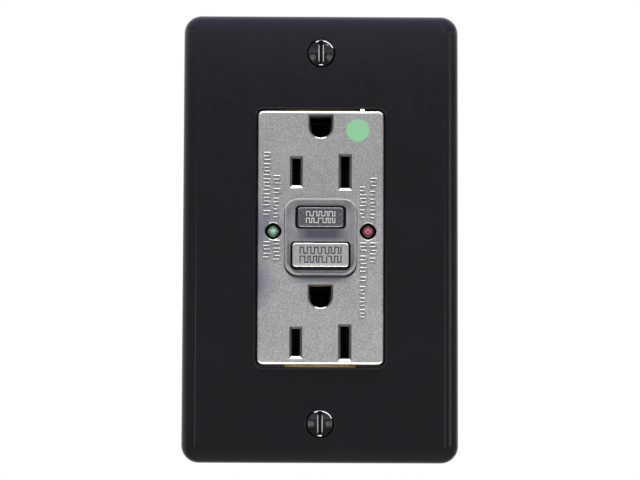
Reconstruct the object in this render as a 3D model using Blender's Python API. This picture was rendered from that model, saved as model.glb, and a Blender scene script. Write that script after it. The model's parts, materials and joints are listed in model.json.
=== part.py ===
"""A duplex GFCI outlet with its wall plate, as an assembly of separate pieces.

+X is to the right of someone facing the outlet, +Z is up, and the front faces -Y.
Y = 0 is the wall: the strap's ears and the wall plate's rim rest on it, and the
body reaches back into the wall box. Every size and place here is in millimetres,
and add_object turns them into metres.
"""

import math

import bmesh
import bpy
from mathutils import Matrix, Vector

METRES_PER_MM = 0.001
GAP = 0.3  # clearance between pieces that touch
PAST = 1.0  # how far a cutter reaches past what it cuts

# Wall plate
PLATE_WIDTH = 72.0
PLATE_HEIGHT = 117.2
PLATE_FRONT = -5.8
PLATE_WALL = 1.9
PLATE_CORNER = 4.6
PLATE_RIM_DEPTH = 2.6  # straight side before the bevelled edge starts
PLATE_BEVEL = 3.6
OPENING_WIDTH = 33.4
OPENING_HEIGHT = 67.5
OPENING_CORNER = 1.8
OPENING_ROUND = 0.6
COLLAR_WIDTH = 1.2

# Face of the outlet
FACE_WIDTH = 32.6
FACE_HEIGHT = 66.0
FACE_FRONT = -7.0
FACE_CORNER = 1.4
FACE_ROUND = 0.85
FACE_WALL = 2.2
BLADE_X = 6.35  # half the spacing of a plug's flat blades
GROUND_OFFSET = 11.85  # from the blades' middle up to the ground pin
UPPER_BLADES_Z = 17.05
LOWER_BLADES_Z = -27.4
HOT_SLOT = (2.55, 7.4)
NEUTRAL_SLOT = (2.8, 9.0)
SLOT_CHAMFER = 0.4
GROUND_HOLE_RADIUS = 2.85
GROUND_HOLES = (
    ("upper", UPPER_BLADES_Z + GROUND_OFFSET),
    ("lower", LOWER_BLADES_Z + GROUND_OFFSET),
)

# Button panel
PANEL_WIDTH = 18.7
PANEL_HEIGHT = 20.3
PANEL_CORNER = 3.5
PANEL_DEPTH = 0.6
TEST_Z = 5.24
TEST_SIZE = (11.85, 5.1)
TEST_WINDOW = (13.1, 5.9)
RESET_Z = -4.77
RESET_SIZE = (14.55, 6.33)
RESET_WINDOW = (15.5, 7.1)
LAMP_X = 12.35
LAMP_Z = 1.5
LAMP_RADIUS = 1.5
LAMP_HOLE_RADIUS = 2.15
TEST_FRONT = -6.75
RESET_FRONT = -7.7
FLANGE_FRONT = -4.5
BUTTON_BACK = -3.7

# Body behind the strap
BODY_WIDTH = 41.0
BODY_HEIGHT = 65.6
BODY_CORNER = 1.5
BODY_BACK = 27.5
BODY_WALL = 1.6
BODY_INNER_BACK = 25.7
SHOULDER_FRONT = -2.6
SPLIT = 7.0  # where the front cover meets the back body
HOLLOW_Z = 31.6
NOTCH_X = 9.7  # the strap passes through a notch at each end of the cover
BOARD_FRONT = 23.2
BOARD_BACK = 24.8
PARTS_BACK = 22.8  # parts stand just clear of the board
CORNER_SCREW = (16.9, 29.2)

# Strap and screws
STRAP_THICKNESS = 1.2
PLATE_SCREW_Z = 48.42
MOUNTING_SCREW_Z = 41.65
THREAD_RADIUS = 1.65  # a number 6 machine screw
THREAD_HOLE = THREAD_RADIUS + GAP
GROUND_SCREW = (5.0, 39.6)  # Y and Z of its axis

# Terminals, one pair on each side
TERMINAL_Y = 13.0
TERMINAL_Z = 14.0
TERMINAL_INSIDE = 17.7
TERMINAL_OUTSIDE = 18.7

# Tripping mechanism
CONTACT_X = 8.8
ARM_PIVOT_Z = 10.2
ARM_Y = 14.8
TEST_LEAF_PIVOT = (2.7, 11.5)  # Y and Z
LATCH_Y = 18.4
SENSOR_Z = 20.5

NO_SHIFT = (0.0, 0.0, 0.0)
CORNERS = ((-1, 1), (1, 1), (-1, -1), (1, -1))  # signs of X and Z
POLES = (("hot", -1, "brass"), ("neutral", 1, "nickel"))  # side of X, terminal metal
END_SIGNS = (("top", 1), ("bottom", -1))  # sign of Z


# ---------------------------------------------------------------- materials


def finish(name, colour, roughness, metallic=0.0):
    """A Principled material of one colour."""
    material = bpy.data.materials.new(name)
    material.use_nodes = True
    shader = material.node_tree.nodes["Principled BSDF"]
    shader.inputs["Base Color"].default_value = (*colour, 1.0)
    shader.inputs["Roughness"].default_value = roughness
    shader.inputs["Metallic"].default_value = metallic
    return material


def make_finishes():
    return {
        "plate": finish("plate", (0.016, 0.015, 0.019), 0.3),
        "face": finish("face", (0.36, 0.36, 0.37), 0.5),
        "test_cap": finish("test_cap", (0.18, 0.18, 0.2), 0.35),
        "reset_cap": finish("reset_cap", (0.4, 0.4, 0.41), 0.45),
        "lamp_green": finish("lamp_green", (0.08, 0.4, 0.2), 0.15),
        "lamp_red": finish("lamp_red", (0.5, 0.03, 0.05), 0.15),
        "brass": finish("brass", (0.62, 0.43, 0.16), 0.3, 1.0),
        "bright_screw": finish("bright_screw", (0.5, 0.5, 0.52), 0.15, 1.0),
        "zinc_steel": finish("zinc_steel", (0.56, 0.57, 0.6), 0.35, 1.0),
        "nickel": finish("nickel", (0.68, 0.66, 0.62), 0.28, 1.0),
        "ground_green": finish("ground_green", (0.02, 0.28, 0.09), 0.35, 0.6),
        "copper": finish("copper", (0.72, 0.27, 0.12), 0.35, 1.0),
        "silver": finish("silver", (0.85, 0.85, 0.84), 0.25, 1.0),
        "back_plastic": finish("back_plastic", (0.03, 0.03, 0.034), 0.5),
        "inner_plastic": finish("inner_plastic", (0.05, 0.05, 0.055), 0.55),
        "fibre": finish("fibre", (0.55, 0.38, 0.22), 0.8),
        "board": finish("board", (0.02, 0.2, 0.08), 0.35),
        "core": finish("core", (0.1, 0.1, 0.11), 0.5, 0.4),
        "epoxy": finish("epoxy", (0.02, 0.02, 0.022), 0.45),
        "varistor_blue": finish("varistor_blue", (0.03, 0.12, 0.4), 0.4),
        "resistor_tan": finish("resistor_tan", (0.6, 0.42, 0.25), 0.5),
    }


# ------------------------------------------------------------ shape helpers


def point_at(across, along, axis):
    """The point with two coordinates across an axis and one along it."""
    u, v = across
    return {"X": (along, u, v), "Y": (u, along, v), "Z": (u, v, along)}[axis]


def add_object(name, shape, material, origin=NO_SHIFT):
    """Makes an object from a bmesh in millimetres, with its origin at a point."""
    bmesh.ops.recalc_face_normals(shape, faces=shape.faces)
    mesh = bpy.data.meshes.new(name)
    shape.to_mesh(mesh)
    shape.free()
    mesh.transform(Matrix.Scale(METRES_PER_MM, 4) @ Matrix.Translation(-Vector(origin)))
    obj = bpy.data.objects.new(name, mesh)
    obj.location = METRES_PER_MM * Vector(origin)
    bpy.context.scene.collection.objects.link(obj)
    if material:
        mesh.materials.append(material)
    return obj


def add_rings(shape, rings, closed_end_to_end=False):
    """Skins a list of rings, and caps both ends unless they join up."""
    rows = [[shape.verts.new(point) for point in ring] for ring in rings]
    pairs = list(zip(rows, rows[1:]))
    if closed_end_to_end:
        pairs.append((rows[-1], rows[0]))
    else:
        shape.faces.new(rows[0][::-1])
        shape.faces.new(rows[-1])
    for first, second in pairs:
        for i in range(len(first)):
            j = (i + 1) % len(first)
            shape.faces.new((first[i], first[j], second[j], second[i]))


def loft(name, loops, axis, material=None, origin=NO_SHIFT):
    """A solid through (outline, place along the axis) pairs, capped at both ends."""
    shape = bmesh.new()
    add_rings(shape, [[point_at(p, along, axis) for p in outline] for outline, along in loops])
    return add_object(name, shape, material, origin)


def prism(name, outline, start, end, axis, material=None, origin=NO_SHIFT):
    return loft(name, [(outline, start), (outline, end)], axis, material, origin)


def box(name, low, high, material=None, origin=NO_SHIFT):
    """A block between two corners."""
    (x0, y0, z0), (x1, y1, z1) = low, high
    outline = [(x0, z0), (x1, z0), (x1, z1), (x0, z1)]
    return prism(name, outline, y0, y1, "Y", material, origin)


def arc(centre, radius, start_degrees, end_degrees, segments):
    """Points along an arc, both ends included."""
    turns = [
        math.radians(start_degrees + (end_degrees - start_degrees) * i / segments)
        for i in range(segments + 1)
    ]
    return [(centre[0] + radius * math.cos(t), centre[1] + radius * math.sin(t)) for t in turns]


def circle(centre, radius, segments):
    return arc(centre, radius, 0.0, 360.0, segments)[:-1]


def rounded_rectangle(size, radius, centre=(0.0, 0.0), segments=4):
    half_width = size[0] / 2 - radius
    half_height = size[1] / 2 - radius
    outline = []
    for quarter, (sx, sz) in enumerate(((1, 1), (-1, 1), (-1, -1), (1, -1))):
        middle = (centre[0] + sx * half_width, centre[1] + sz * half_height)
        outline += arc(middle, radius, 90 * quarter, 90 * quarter + 90, segments)
    return outline


def rectangle(size, centre=(0.0, 0.0)):
    half_width, half_height = size[0] / 2, size[1] / 2
    corners = [(-1, -1), (1, -1), (1, 1), (-1, 1)]
    return [(centre[0] + sx * half_width, centre[1] + sz * half_height) for sx, sz in corners]


def grown(size, amount):
    return (size[0] + 2 * amount, size[1] + 2 * amount)


def turned(name, profile, centre, axis, material=None, segments=16, origin=NO_SHIFT):
    """A solid of revolution through (radius, place along the axis) pairs."""
    loops = [(circle(centre, radius, segments), along) for radius, along in profile]
    return loft(name, loops, axis, material, origin)


def turned_ring(name, section, centre, material, segments=20):
    """A ring round a line along Y, from a closed (radius, y) section."""
    shape = bmesh.new()
    rings = []
    for i in range(segments):
        turn = math.tau * i / segments
        across = (math.cos(turn), math.sin(turn))
        rings.append(
            [(centre[0] + r * across[0], y, centre[1] + r * across[1]) for r, y in section]
        )
    add_rings(shape, rings, closed_end_to_end=True)
    add_object(name, shape, material)


def coil(name, centre, axis, ends, radius, wire, turns, material, origin=NO_SHIFT):
    """A compression spring along an axis; radius is the coil's, and wire the wire's."""
    per_turn, sides = 10, 5
    start, end = ends
    count = int(turns * per_turn)
    rings = []
    for i in range(count + 1):
        turn = math.tau * turns * i / count
        along = start + (end - start) * i / count
        ring = []
        for side in range(sides):
            angle = math.tau * side / sides
            reach = radius + wire * math.cos(angle)
            across = (centre[0] + reach * math.cos(turn), centre[1] + reach * math.sin(turn))
            ring.append(point_at(across, along + wire * math.sin(angle), axis))
        rings.append(ring)
    shape = bmesh.new()
    add_rings(shape, rings)
    shade_round(add_object(name, shape, material, origin))


def combine(target, tools, operation):
    """Cuts hidden tools from a target, or joins them to it, with Boolean modifiers."""
    for tool in tools:
        modifier = target.modifiers.new(tool.name, "BOOLEAN")
        modifier.operation = operation
        modifier.solver = "EXACT"
        modifier.object = tool
        tool.parent = target
        tool.matrix_parent_inverse = Matrix.Translation(-target.location)
        tool.hide_render = True
        tool.display_type = "WIRE"


def cut(target, *tools):
    combine(target, tools, "DIFFERENCE")


def join(target, *tools):
    combine(target, tools, "UNION")


def shade_round(obj):
    obj.data.shade_smooth()
    obj.data.set_sharp_from_angle(angle=math.radians(35))


def mirrored(outline):
    """Closes a half outline at +X, listed from top to bottom, with its mirror image."""
    return outline + [(-x, z) for x, z in reversed(outline)]


# --------------------------------------------------------------- wall plate


def plate_loop(inset):
    size = grown((PLATE_WIDTH, PLATE_HEIGHT), -inset)
    return rounded_rectangle(size, max(PLATE_CORNER - inset, 1.0), segments=5)


def bevel_profile(steps):
    """(inset, y) along the plate's convex edge, which ends in a slight crease."""
    reach = 1.5 * PLATE_BEVEL
    rise = -PLATE_FRONT - PLATE_RIM_DEPTH
    crease = math.acos(1 - PLATE_BEVEL / reach)
    profile = []
    for i in range(1, steps + 1):
        turn = crease * i / steps
        inset = reach * (1 - math.cos(turn))
        profile.append((inset, -PLATE_RIM_DEPTH - rise * math.sin(turn) / math.sin(crease)))
    return profile


def opening_loop(growth):
    size = grown((OPENING_WIDTH, OPENING_HEIGHT), growth)
    return rounded_rectangle(size, OPENING_CORNER + growth, segments=4)


def rounded_edge(radius, front, steps=3):
    """(inset, y) round a front edge, from its side to its flat."""
    turns = [math.pi / 2 * i / steps for i in range(steps + 1)]
    return [(radius * (1 - math.cos(turn)), front + radius * (1 - math.sin(turn))) for turn in turns]


def make_wall_plate(finishes):
    profile = [(0.0, 0.0), (0.0, -PLATE_RIM_DEPTH), *bevel_profile(4)]
    plate = loft("wall_plate", [(plate_loop(d), y) for d, y in profile], "Y", finishes["plate"])
    inner_front = PLATE_FRONT + PLATE_WALL
    hollow_profile = [(2.0, PAST), (2.0, -2.0), (4.4, inner_front)]
    cut(plate, loft("plate_hollow", [(plate_loop(d), y) for d, y in hollow_profile], "Y"))
    overlap = 0.5
    collar = opening_loop(COLLAR_WIDTH)
    join(plate, prism("plate_collar", collar, inner_front - overlap, SHOULDER_FRONT - GAP, "Y"))
    opening_profile = [
        (0.0, PAST),
        *rounded_edge(OPENING_ROUND, PLATE_FRONT),
        (OPENING_ROUND, PLATE_FRONT - PAST),
    ]
    cut(plate, loft("plate_opening", [(opening_loop(d), y) for d, y in opening_profile], "Y"))
    for end, sign in END_SIGNS:
        centre = (0.0, sign * PLATE_SCREW_Z)
        boss = [(3.1, inner_front - overlap), (3.1, -1.6)]
        join(plate, turned(f"plate_boss_{end}", boss, centre, "Y", segments=20))
        countersink = [(4.45, PLATE_FRONT - 0.8), (2.0, PLATE_FRONT + 2.02), (2.0, PAST)]
        cut(plate, turned(f"plate_countersink_{end}", countersink, centre, "Y", segments=24))


# --------------------------------------------------------------- front cover


def face_loop(inset):
    size = grown((FACE_WIDTH, FACE_HEIGHT), -inset)
    return rounded_rectangle(size, max(FACE_CORNER - inset, 0.5), segments=3)


def ground_outline(middle_z, growth):
    """A hole with a flat top and a half-round bottom."""
    radius = GROUND_HOLE_RADIUS + growth
    top = middle_z + radius + 0.05
    return [(radius, top), (-radius, top), *arc((0.0, middle_z), radius, 180.0, 360.0, 10)]


def chamfered_hole(name, outline_at):
    """A cutter through the face with a chamfered mouth; outline_at takes a growth."""
    chamfer_end = FACE_FRONT + SLOT_CHAMFER
    loops = [
        (outline_at(2 * SLOT_CHAMFER), FACE_FRONT - SLOT_CHAMFER),
        (outline_at(0.0), chamfer_end),
        (outline_at(0.0), chamfer_end + FACE_WALL + 0.5),
    ]
    return loft(name, loops, "Y")


def socket_cutters(name, blades_z):
    """The three holes that a plug goes into."""
    blades = {"hot": (HOT_SLOT, -BLADE_X), "neutral": (NEUTRAL_SLOT, BLADE_X)}
    cutters = [
        chamfered_hole(
            f"{name}_{pole}_slot",
            lambda growth, size=size, x=x: rectangle(grown(size, growth), (x, blades_z)),
        )
        for pole, (size, x) in blades.items()
    ]
    ground_z = blades_z + GROUND_OFFSET
    ground = chamfered_hole(
        f"{name}_ground_hole", lambda growth: ground_outline(ground_z, growth)
    )
    return [*cutters, ground]


def face_cutter(name, outline):
    """A straight cutter through the face."""
    return prism(name, outline, FACE_FRONT - PAST, FACE_FRONT + FACE_WALL + 0.5, "Y")


def panel_cutters():
    """The sunk panel with its sloped sides, its two windows and the two lamp holes."""
    slope = 0.6
    size = (PANEL_WIDTH, PANEL_HEIGHT)
    mouth = rounded_rectangle(grown(size, slope), PANEL_CORNER + slope)
    floor = rounded_rectangle(grown(size, -slope), PANEL_CORNER - slope)
    panel = loft(
        "cover_panel", [(mouth, FACE_FRONT - slope), (floor, FACE_FRONT + PANEL_DEPTH)], "Y"
    )
    cutters = [panel]
    for name, window, middle in (("test", TEST_WINDOW, TEST_Z), ("reset", RESET_WINDOW, RESET_Z)):
        outline = rounded_rectangle(window, 1.0, (0.0, middle), segments=3)
        cutters.append(face_cutter(f"cover_{name}_window", outline))
    for side, x in (("left", -LAMP_X), ("right", LAMP_X)):
        outline = circle((x, LAMP_Z), LAMP_HOLE_RADIUS, 20)
        cutters.append(face_cutter(f"cover_lamp_hole_{side}", outline))
    return cutters


def make_front_cover(finishes):
    loops = [(face_loop(0.0), SHOULDER_FRONT + 0.5)]
    loops += [(face_loop(inset), y) for inset, y in rounded_edge(FACE_ROUND, FACE_FRONT)]
    cover = loft("front_cover", loops, "Y", finishes["face"])
    shoulder = rounded_rectangle((BODY_WIDTH, BODY_HEIGHT), BODY_CORNER, segments=3)
    join(cover, prism("cover_shoulder", shoulder, SHOULDER_FRONT, SPLIT, "Y"))
    past_split = SPLIT + PAST
    cut(
        cover,
        box("cover_face_hollow", (-14.5, -4.8, -HOLLOW_Z), (14.5, past_split, HOLLOW_Z)),
        box("cover_shoulder_hollow", (-18.8, -0.9, -HOLLOW_Z), (18.8, past_split, HOLLOW_Z)),
        box("cover_notch_top", (-NOTCH_X, -1.6, 30.0), (NOTCH_X, past_split, 34.0)),
        box("cover_notch_bottom", (-NOTCH_X, -1.6, -34.0), (NOTCH_X, past_split, -30.0)),
    )
    for i, (sx, sz) in enumerate(CORNERS):
        centre = (sx * CORNER_SCREW[0], sz * CORNER_SCREW[1])
        join(cover, turned(f"cover_post_{i}", [(2.3, -1.5), (2.3, SPLIT)], centre, "Y"))
        cut(cover, turned(f"cover_pilot_{i}", [(1.4, 1.0), (1.4, past_split)], centre, "Y"))
    cut(cover, *panel_cutters())
    cut(cover, *socket_cutters("upper", UPPER_BLADES_Z), *socket_cutters("lower", LOWER_BLADES_Z))


# ------------------------------------------------------- buttons and lamps


def button(name, size, middle, front, material):
    """A key cap with a rounded front edge and a flange that keeps it in its window."""
    edge = 0.3
    corner = 0.8
    flange = rounded_rectangle(grown(size, 1.0), corner, (0.0, middle), segments=3)

    def cap(inset):
        return rounded_rectangle(grown(size, -inset), corner - inset, (0.0, middle), segments=3)

    loops = [
        (flange, BUTTON_BACK),
        (flange, FLANGE_FRONT),
        (cap(0.0), FLANGE_FRONT),
        (cap(0.0), front + edge),
        (cap(0.3 * edge), front + 0.3 * edge),
        (cap(edge), front),
    ]
    return loft(name, loops, "Y", material, origin=(0.0, front, middle))


def make_buttons(finishes):
    test = button("test_button", TEST_SIZE, TEST_Z, TEST_FRONT, finishes["test_cap"])
    join(
        test,
        box("test_stem", (-1.5, -4.0, TEST_Z - 1.5), (1.5, 1.4, TEST_Z + 1.5)),
        box("test_stem_tip", (-1.0, 1.2, TEST_Z - 0.5), (1.0, 2.2, TEST_Z + 0.5)),
    )
    button("reset_button", RESET_SIZE, RESET_Z, RESET_FRONT, finishes["reset_cap"])


def make_lamps(finishes):
    """A domed lens with a flange behind the face and two leads down to the board."""
    dome_base = -5.6
    dome_height = 1.3
    turns = [math.radians(angle) for angle in (0, 25, 50, 75)]
    dome = [(LAMP_RADIUS * math.cos(t), dome_base - dome_height * math.sin(t)) for t in turns]
    profile = [(1.9, -1.4), (1.9, -2.4), (LAMP_RADIUS, -2.4), *dome]
    lead = 0.25
    for name, x in (("green", -LAMP_X), ("red", LAMP_X)):
        lamp = turned(f"{name}_lamp", profile, (x, LAMP_Z), "Y", finishes[f"lamp_{name}"])
        shade_round(lamp)
        for place, z in (("upper", LAMP_Z + 1.0), ("lower", LAMP_Z - 1.0)):
            low = (x - lead, -1.8, z - lead)
            high = (x + lead, BOARD_FRONT - GAP, z + lead)
            join(lamp, box(f"{name}_lamp_{place}_lead", low, high))


# ------------------------------------------------------- strap and grounding


def make_strap(finishes):
    ear = [
        (5.3, 53.3),
        (6.5, 52.1),
        (6.5, 50.8),
        (14.3, 50.8),
        (15.5, 49.6),
        (15.5, 45.4),
        (14.3, 44.2),
        (9.3, 44.2),
        (9.3, 32.0),
        (4.2, 32.0),
    ]
    lower_ear = [(x, -z) for x, z in reversed(ear)]
    half = [*ear, (4.2, 9.5), (8.0, 9.5), (8.0, -10.0), (4.2, -10.0), *lower_ear]
    strap = prism("mounting_strap", mirrored(half), -STRAP_THICKNESS, 0.0, "Y", finishes["brass"])
    join(strap, box("strap_tab", (-9.3, -0.6, 35.4), (-8.1, 9.5, 43.8)))
    tab_hole = [(THREAD_HOLE, -10.0), (THREAD_HOLE, -7.5)]
    outlines = {
        "stem_hole": rectangle((4.4, 4.4), (0.0, TEST_Z)),
        "spring_hole": circle((0.0, RESET_Z), 3.2, 16),
    }
    for place, middle in GROUND_HOLES:
        outlines[f"{place}_ground_hole"] = rectangle((5.7, 6.0), (0.0, middle))
    for end, sign in END_SIGNS:
        slot_centre = (0.0, sign * MOUNTING_SCREW_Z)
        corner = THREAD_HOLE - 0.01
        outlines[f"{end}_slot"] = rounded_rectangle((7.2, 2 * THREAD_HOLE), corner, slot_centre)
        outlines[f"{end}_screw_hole"] = circle((0.0, sign * PLATE_SCREW_Z), THREAD_HOLE, 16)
    cut(strap, turned("strap_tab_hole", tab_hole, GROUND_SCREW, "X"))
    for name, outline in outlines.items():
        cut(strap, prism(f"strap_{name}", outline, -2.0, PAST, "Y"))


def make_ground_contacts(finishes):
    """A folded clip behind each ground hole, whose two leaves grip the pin."""
    half = [(4.1, 0.3), (4.1, 0.9), (2.95, 0.9), (2.95, 11.0), (2.35, 11.0), (2.35, 0.3)]
    other_half = [(-x, y) for x, y in half]
    for place, middle in GROUND_HOLES:
        name = f"ground_contact_{place}"
        low, high = middle - 2.3, middle + 1.1
        clip = prism(name, other_half, low, high, "Z", finishes["brass"])
        bridge = box(f"{name}_bridge", (-4.1, 0.3, low - 0.8), (4.1, 2.6, low + 0.1))
        join(clip, prism(f"{name}_leaf", half, low, high, "Z"), bridge)


# ------------------------------------------------------------------- screws


def screw(name, profile, centre, axis, material, origin, slot, segments=16):
    """A turned screw whose head is cut by a driver slot."""
    body = turned(name, profile, centre, axis, material, segments, origin)
    shade_round(body)
    cut(body, slot)


def make_plate_screws(finishes):
    """Oval-head screws that hold the wall plate to the strap."""
    head = 3.45
    rim = PLATE_FRONT + 0.1
    crown = 0.85
    turns = [math.radians(angle) for angle in (75, 50, 25, 0)]
    dome = [(head * math.cos(turn), rim - crown * math.sin(turn)) for turn in turns]
    neck = rim + (head - THREAD_RADIUS) / math.tan(math.radians(41))
    profile = [*dome, (THREAD_RADIUS, neck), (THREAD_RADIUS, 8.2), (1.0, 9.0)]
    for end, sign in END_SIGNS:
        name = f"plate_screw_{end}"
        z = sign * PLATE_SCREW_Z
        slot = box(f"{name}_slot", (-0.55, -8.0, z - 5.0), (0.55, -5.3, z + 5.0))
        screw(name, profile, (0.0, z), "Y", finishes["bright_screw"], (0.0, rim, z), slot, 20)


def make_mounting_screws(finishes):
    """Pan-head screws that hold the strap to the wall box, each with its retainer."""
    profile = [(1.6, -3.4), (2.7, -3.15), (3.3, -2.5), (3.3, -1.5)]
    profile += [(THREAD_RADIUS, -1.5), (THREAD_RADIUS, 23.2), (1.0, 24.0)]
    for end, sign in END_SIGNS:
        name = f"mounting_screw_{end}"
        z = sign * MOUNTING_SCREW_Z
        slot = box(f"{name}_slot", (-4.0, -4.0, z - 0.5), (4.0, -2.5, z + 0.5))
        screw(name, profile, (0.0, z), "Y", finishes["zinc_steel"], (0.0, -1.5, z), slot)
        sheet = rectangle((9.0, 6.4), (0.0, z))
        retainer = prism(f"screw_retainer_{end}", sheet, GAP, 1.0, "Y", finishes["fibre"])
        hole = circle((0.0, z), THREAD_HOLE, 12)
        cut(retainer, prism(f"retainer_{end}_hole", hole, 0.0, 2.0, "Y"))


def make_ground_screw(finishes):
    y, z = GROUND_SCREW
    profile = [(2.6, -12.2), (3.5, -11.8), (3.5, -9.6)]
    profile += [(THREAD_RADIUS, -9.6), (THREAD_RADIUS, -4.2), (1.1, -3.6)]
    slot = box("ground_screw_slot", (-13.0, y - 0.5, z - 5.0), (-11.0, y + 0.5, z + 5.0))
    origin = (-9.6, y, z)
    screw("ground_screw", profile, (y, z), "X", finishes["ground_green"], origin, slot, 12)


def sided_box(name, side, low, high, material=None, origin=NO_SHIFT):
    """A block on the +X side, or its mirror image on the -X side."""
    x0, x1 = sorted((side * low[0], side * high[0]))
    return box(name, (x0, *low[1:]), (x1, *high[1:]), material, origin)


def make_terminals(finishes):
    """On each side, a line and a load screw, each with its clamp plate."""
    y = TERMINAL_Y
    profile = [(2.7, 21.2), (3.5, 21.0), (3.8, 20.5), (3.8, 19.0)]
    profile += [(THREAD_RADIUS, 19.0), (THREAD_RADIUS, 12.6), (1.1, 12.1)]
    for pole, side, metal in POLES:
        sided_profile = [(radius, side * x) for radius, x in profile]
        for end, sign in (("line", 1), ("load", -1)):
            name = f"{pole}_{end}"
            z = sign * TERMINAL_Z
            slot = sided_box(
                f"{name}_screw_slot", side, (20.2, y - 5.0, z - 0.5), (22.0, y + 5.0, z + 0.5)
            )
            origin = (side * 19.0, y, z)
            screw(f"{name}_screw", sided_profile, (y, z), "X", finishes[metal], origin, slot)
            plate = rectangle((7.2, 7.6), (y, z))
            clamp_x = (side * 14.6, side * 16.4)
            origin = (clamp_x[1], y, z)
            clamp = prism(
                f"{name}_clamp", plate, *clamp_x, "X", finishes["zinc_steel"], origin
            )
            bore = [(THREAD_HOLE, side * 14.0), (THREAD_HOLE, side * 17.0)]
            cut(clamp, turned(f"{name}_clamp_hole", bore, (y, z), "X", segments=12))


# ---------------------------------------------------- receptacle conductors


def terminal_plate(name, side, sign, material=None):
    low, high = sorted((sign * 9.0, sign * 19.0))
    return sided_box(
        name, side, (TERMINAL_INSIDE, 8.2, low), (TERMINAL_OUTSIDE, 17.9, high), material
    )


def terminal_hole(name, side, sign):
    ends = [(THREAD_HOLE, side * 17.0), (THREAD_HOLE, side * 19.5)]
    return turned(name, ends, (TERMINAL_Y, sign * TERMINAL_Z), "X")


def make_load_bar(name, side, finishes):
    """One stamping: two pairs of blade clips, a contact pad and a terminal."""
    outline = [
        (5.2, 19.7),
        (5.8, 19.7),
        (5.8, 12.76),
        (6.9, 12.76),
        (6.9, 19.7),
        (7.5, 19.7),
        (7.5, 12.76),
        (10.4, 12.76),
        (10.4, -23.05),
        (7.5, -23.05),
        (7.5, -29.9),
        (6.9, -29.9),
        (6.9, -23.05),
        (5.8, -23.05),
        (5.8, -29.9),
        (5.2, -29.9),
        (5.2, -22.45),
        (9.6, -22.45),
        (9.6, 12.16),
        (5.2, 12.16),
    ]
    sided_outline = [(side * x, z) for x, z in outline]
    bar = prism(name, sided_outline, 3.0, 9.6, "Y", finishes["brass"])
    join(
        bar,
        sided_box(f"{name}_tab", side, (10.0, 8.2, -17.0), (18.2, 9.0, -11.0)),
        terminal_plate(f"{name}_terminal", side, -1),
        sided_box(f"{name}_pad", side, (7.2, 8.8, RESET_Z - 2.0), (9.9, 9.6, RESET_Z + 2.0)),
    )
    cut(bar, terminal_hole(f"{name}_hole", side, -1))


def make_conductors(finishes):
    for pole, side, metal in POLES:
        make_load_bar(f"{pole}_load_bar", side, finishes)
        terminal = terminal_plate(f"{pole}_line_terminal", side, 1, finishes[metal])
        join(
            terminal,
            sided_box(
                f"{pole}_line_leg", side, (TERMINAL_INSIDE, 17.5, 13.1), (TERMINAL_OUTSIDE, 22.8, 14.9)
            ),
            sided_box(f"{pole}_line_foot", side, (12.6, 22.0, 13.1), (18.2, 22.8, 14.9)),
        )
        cut(terminal, terminal_hole(f"{pole}_line_hole", side, 1))
        name = f"{pole}_line_conductor"
        conductor = sided_box(name, side, (0.5, 13.4, 19.7), (2.1, 22.8, 21.3), finishes["copper"])
        join(
            conductor,
            sided_box(f"{name}_run", side, (0.5, 13.4, 9.0), (2.1, 14.2, 20.0)),
            sided_box(f"{name}_foot", side, (0.8, 13.4, 9.0), (10.8, 14.2, 11.4)),
        )


def make_contacts(finishes):
    """The contact arms and the silver contacts that they close."""
    for pole, side, _ in POLES:
        centre = (side * CONTACT_X, RESET_Z)
        pivot = (side * CONTACT_X, ARM_Y, ARM_PIVOT_Z)
        fixed = [(1.5, 9.9), (1.5, 13.2)]
        moving = [(1.5, 13.5), (1.5, 14.2)]
        turned(f"{pole}_fixed_contact", fixed, centre, "Y", finishes["silver"], 14)
        turned(f"{pole}_moving_contact", moving, centre, "Y", finishes["silver"], 14, pivot)
        name = f"{pole}_contact_arm"
        sided_box(name, side, (6.8, 14.5, -7.0), (10.8, 15.1, 11.2), finishes["copper"], pivot)


# ---------------------------------------------------------------- mechanism


def make_reset_plunger(finishes):
    profile = [
        (1.1, -3.4),
        (1.1, 17.7),
        (0.6, 17.7),
        (0.6, 19.1),
        (1.1, 19.1),
        (1.1, 19.5),
        (0.5, 20.2),
    ]
    origin = (0.0, -3.4, RESET_Z)
    metal = finishes["zinc_steel"]
    shade_round(turned("reset_plunger", profile, (0.0, RESET_Z), "Y", metal, 12, origin))


def make_springs(finishes):
    metal = finishes["zinc_steel"]
    coil("reset_spring", (0.0, RESET_Z), "Y", (-2.9, 11.1), 2.2, 0.28, 6.5, metal)
    latch_rest = (0.0, LATCH_Y, RESET_Z)
    coil("latch_spring", (0.0, LATCH_Y), "Z", (-2.5, 0.1), 1.0, 0.15, 2.5, metal, latch_rest)


def make_carriage(finishes):
    """The latch plate catches the plunger's groove, and the carriage lifts the arms."""
    rest = (0.0, LATCH_Y, RESET_Z)
    plastic = finishes["inner_plastic"]
    carriage = box("contact_carriage", (-5.0, 15.4, -8.4), (5.0, 20.4, 1.5), plastic, rest)
    join(carriage, box("carriage_wings", (-10.6, 15.4, -5.8), (10.6, 16.6, -3.4)))
    bore = [(1.5, 15.0), (1.5, 21.0)]
    pocket = [(1.4, -3.0), (1.4, 0.6)]
    cut(
        carriage,
        turned("carriage_bore", bore, (0.0, RESET_Z), "Y"),
        box("carriage_slot", (-3.7, 17.7, -9.0), (3.7, 19.1, -1.5)),
        turned("carriage_spring_pocket", pocket, (0.0, LATCH_Y), "Z"),
    )
    metal = finishes["zinc_steel"]
    latch = box("latch_plate", (-3.4, 18.0, -10.6), (3.4, 18.8, -3.0), metal, rest)
    cut(latch, box("latch_hole", (-1.5, 17.0, RESET_Z - 2.6), (1.5, 20.0, RESET_Z + 0.9)))


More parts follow.
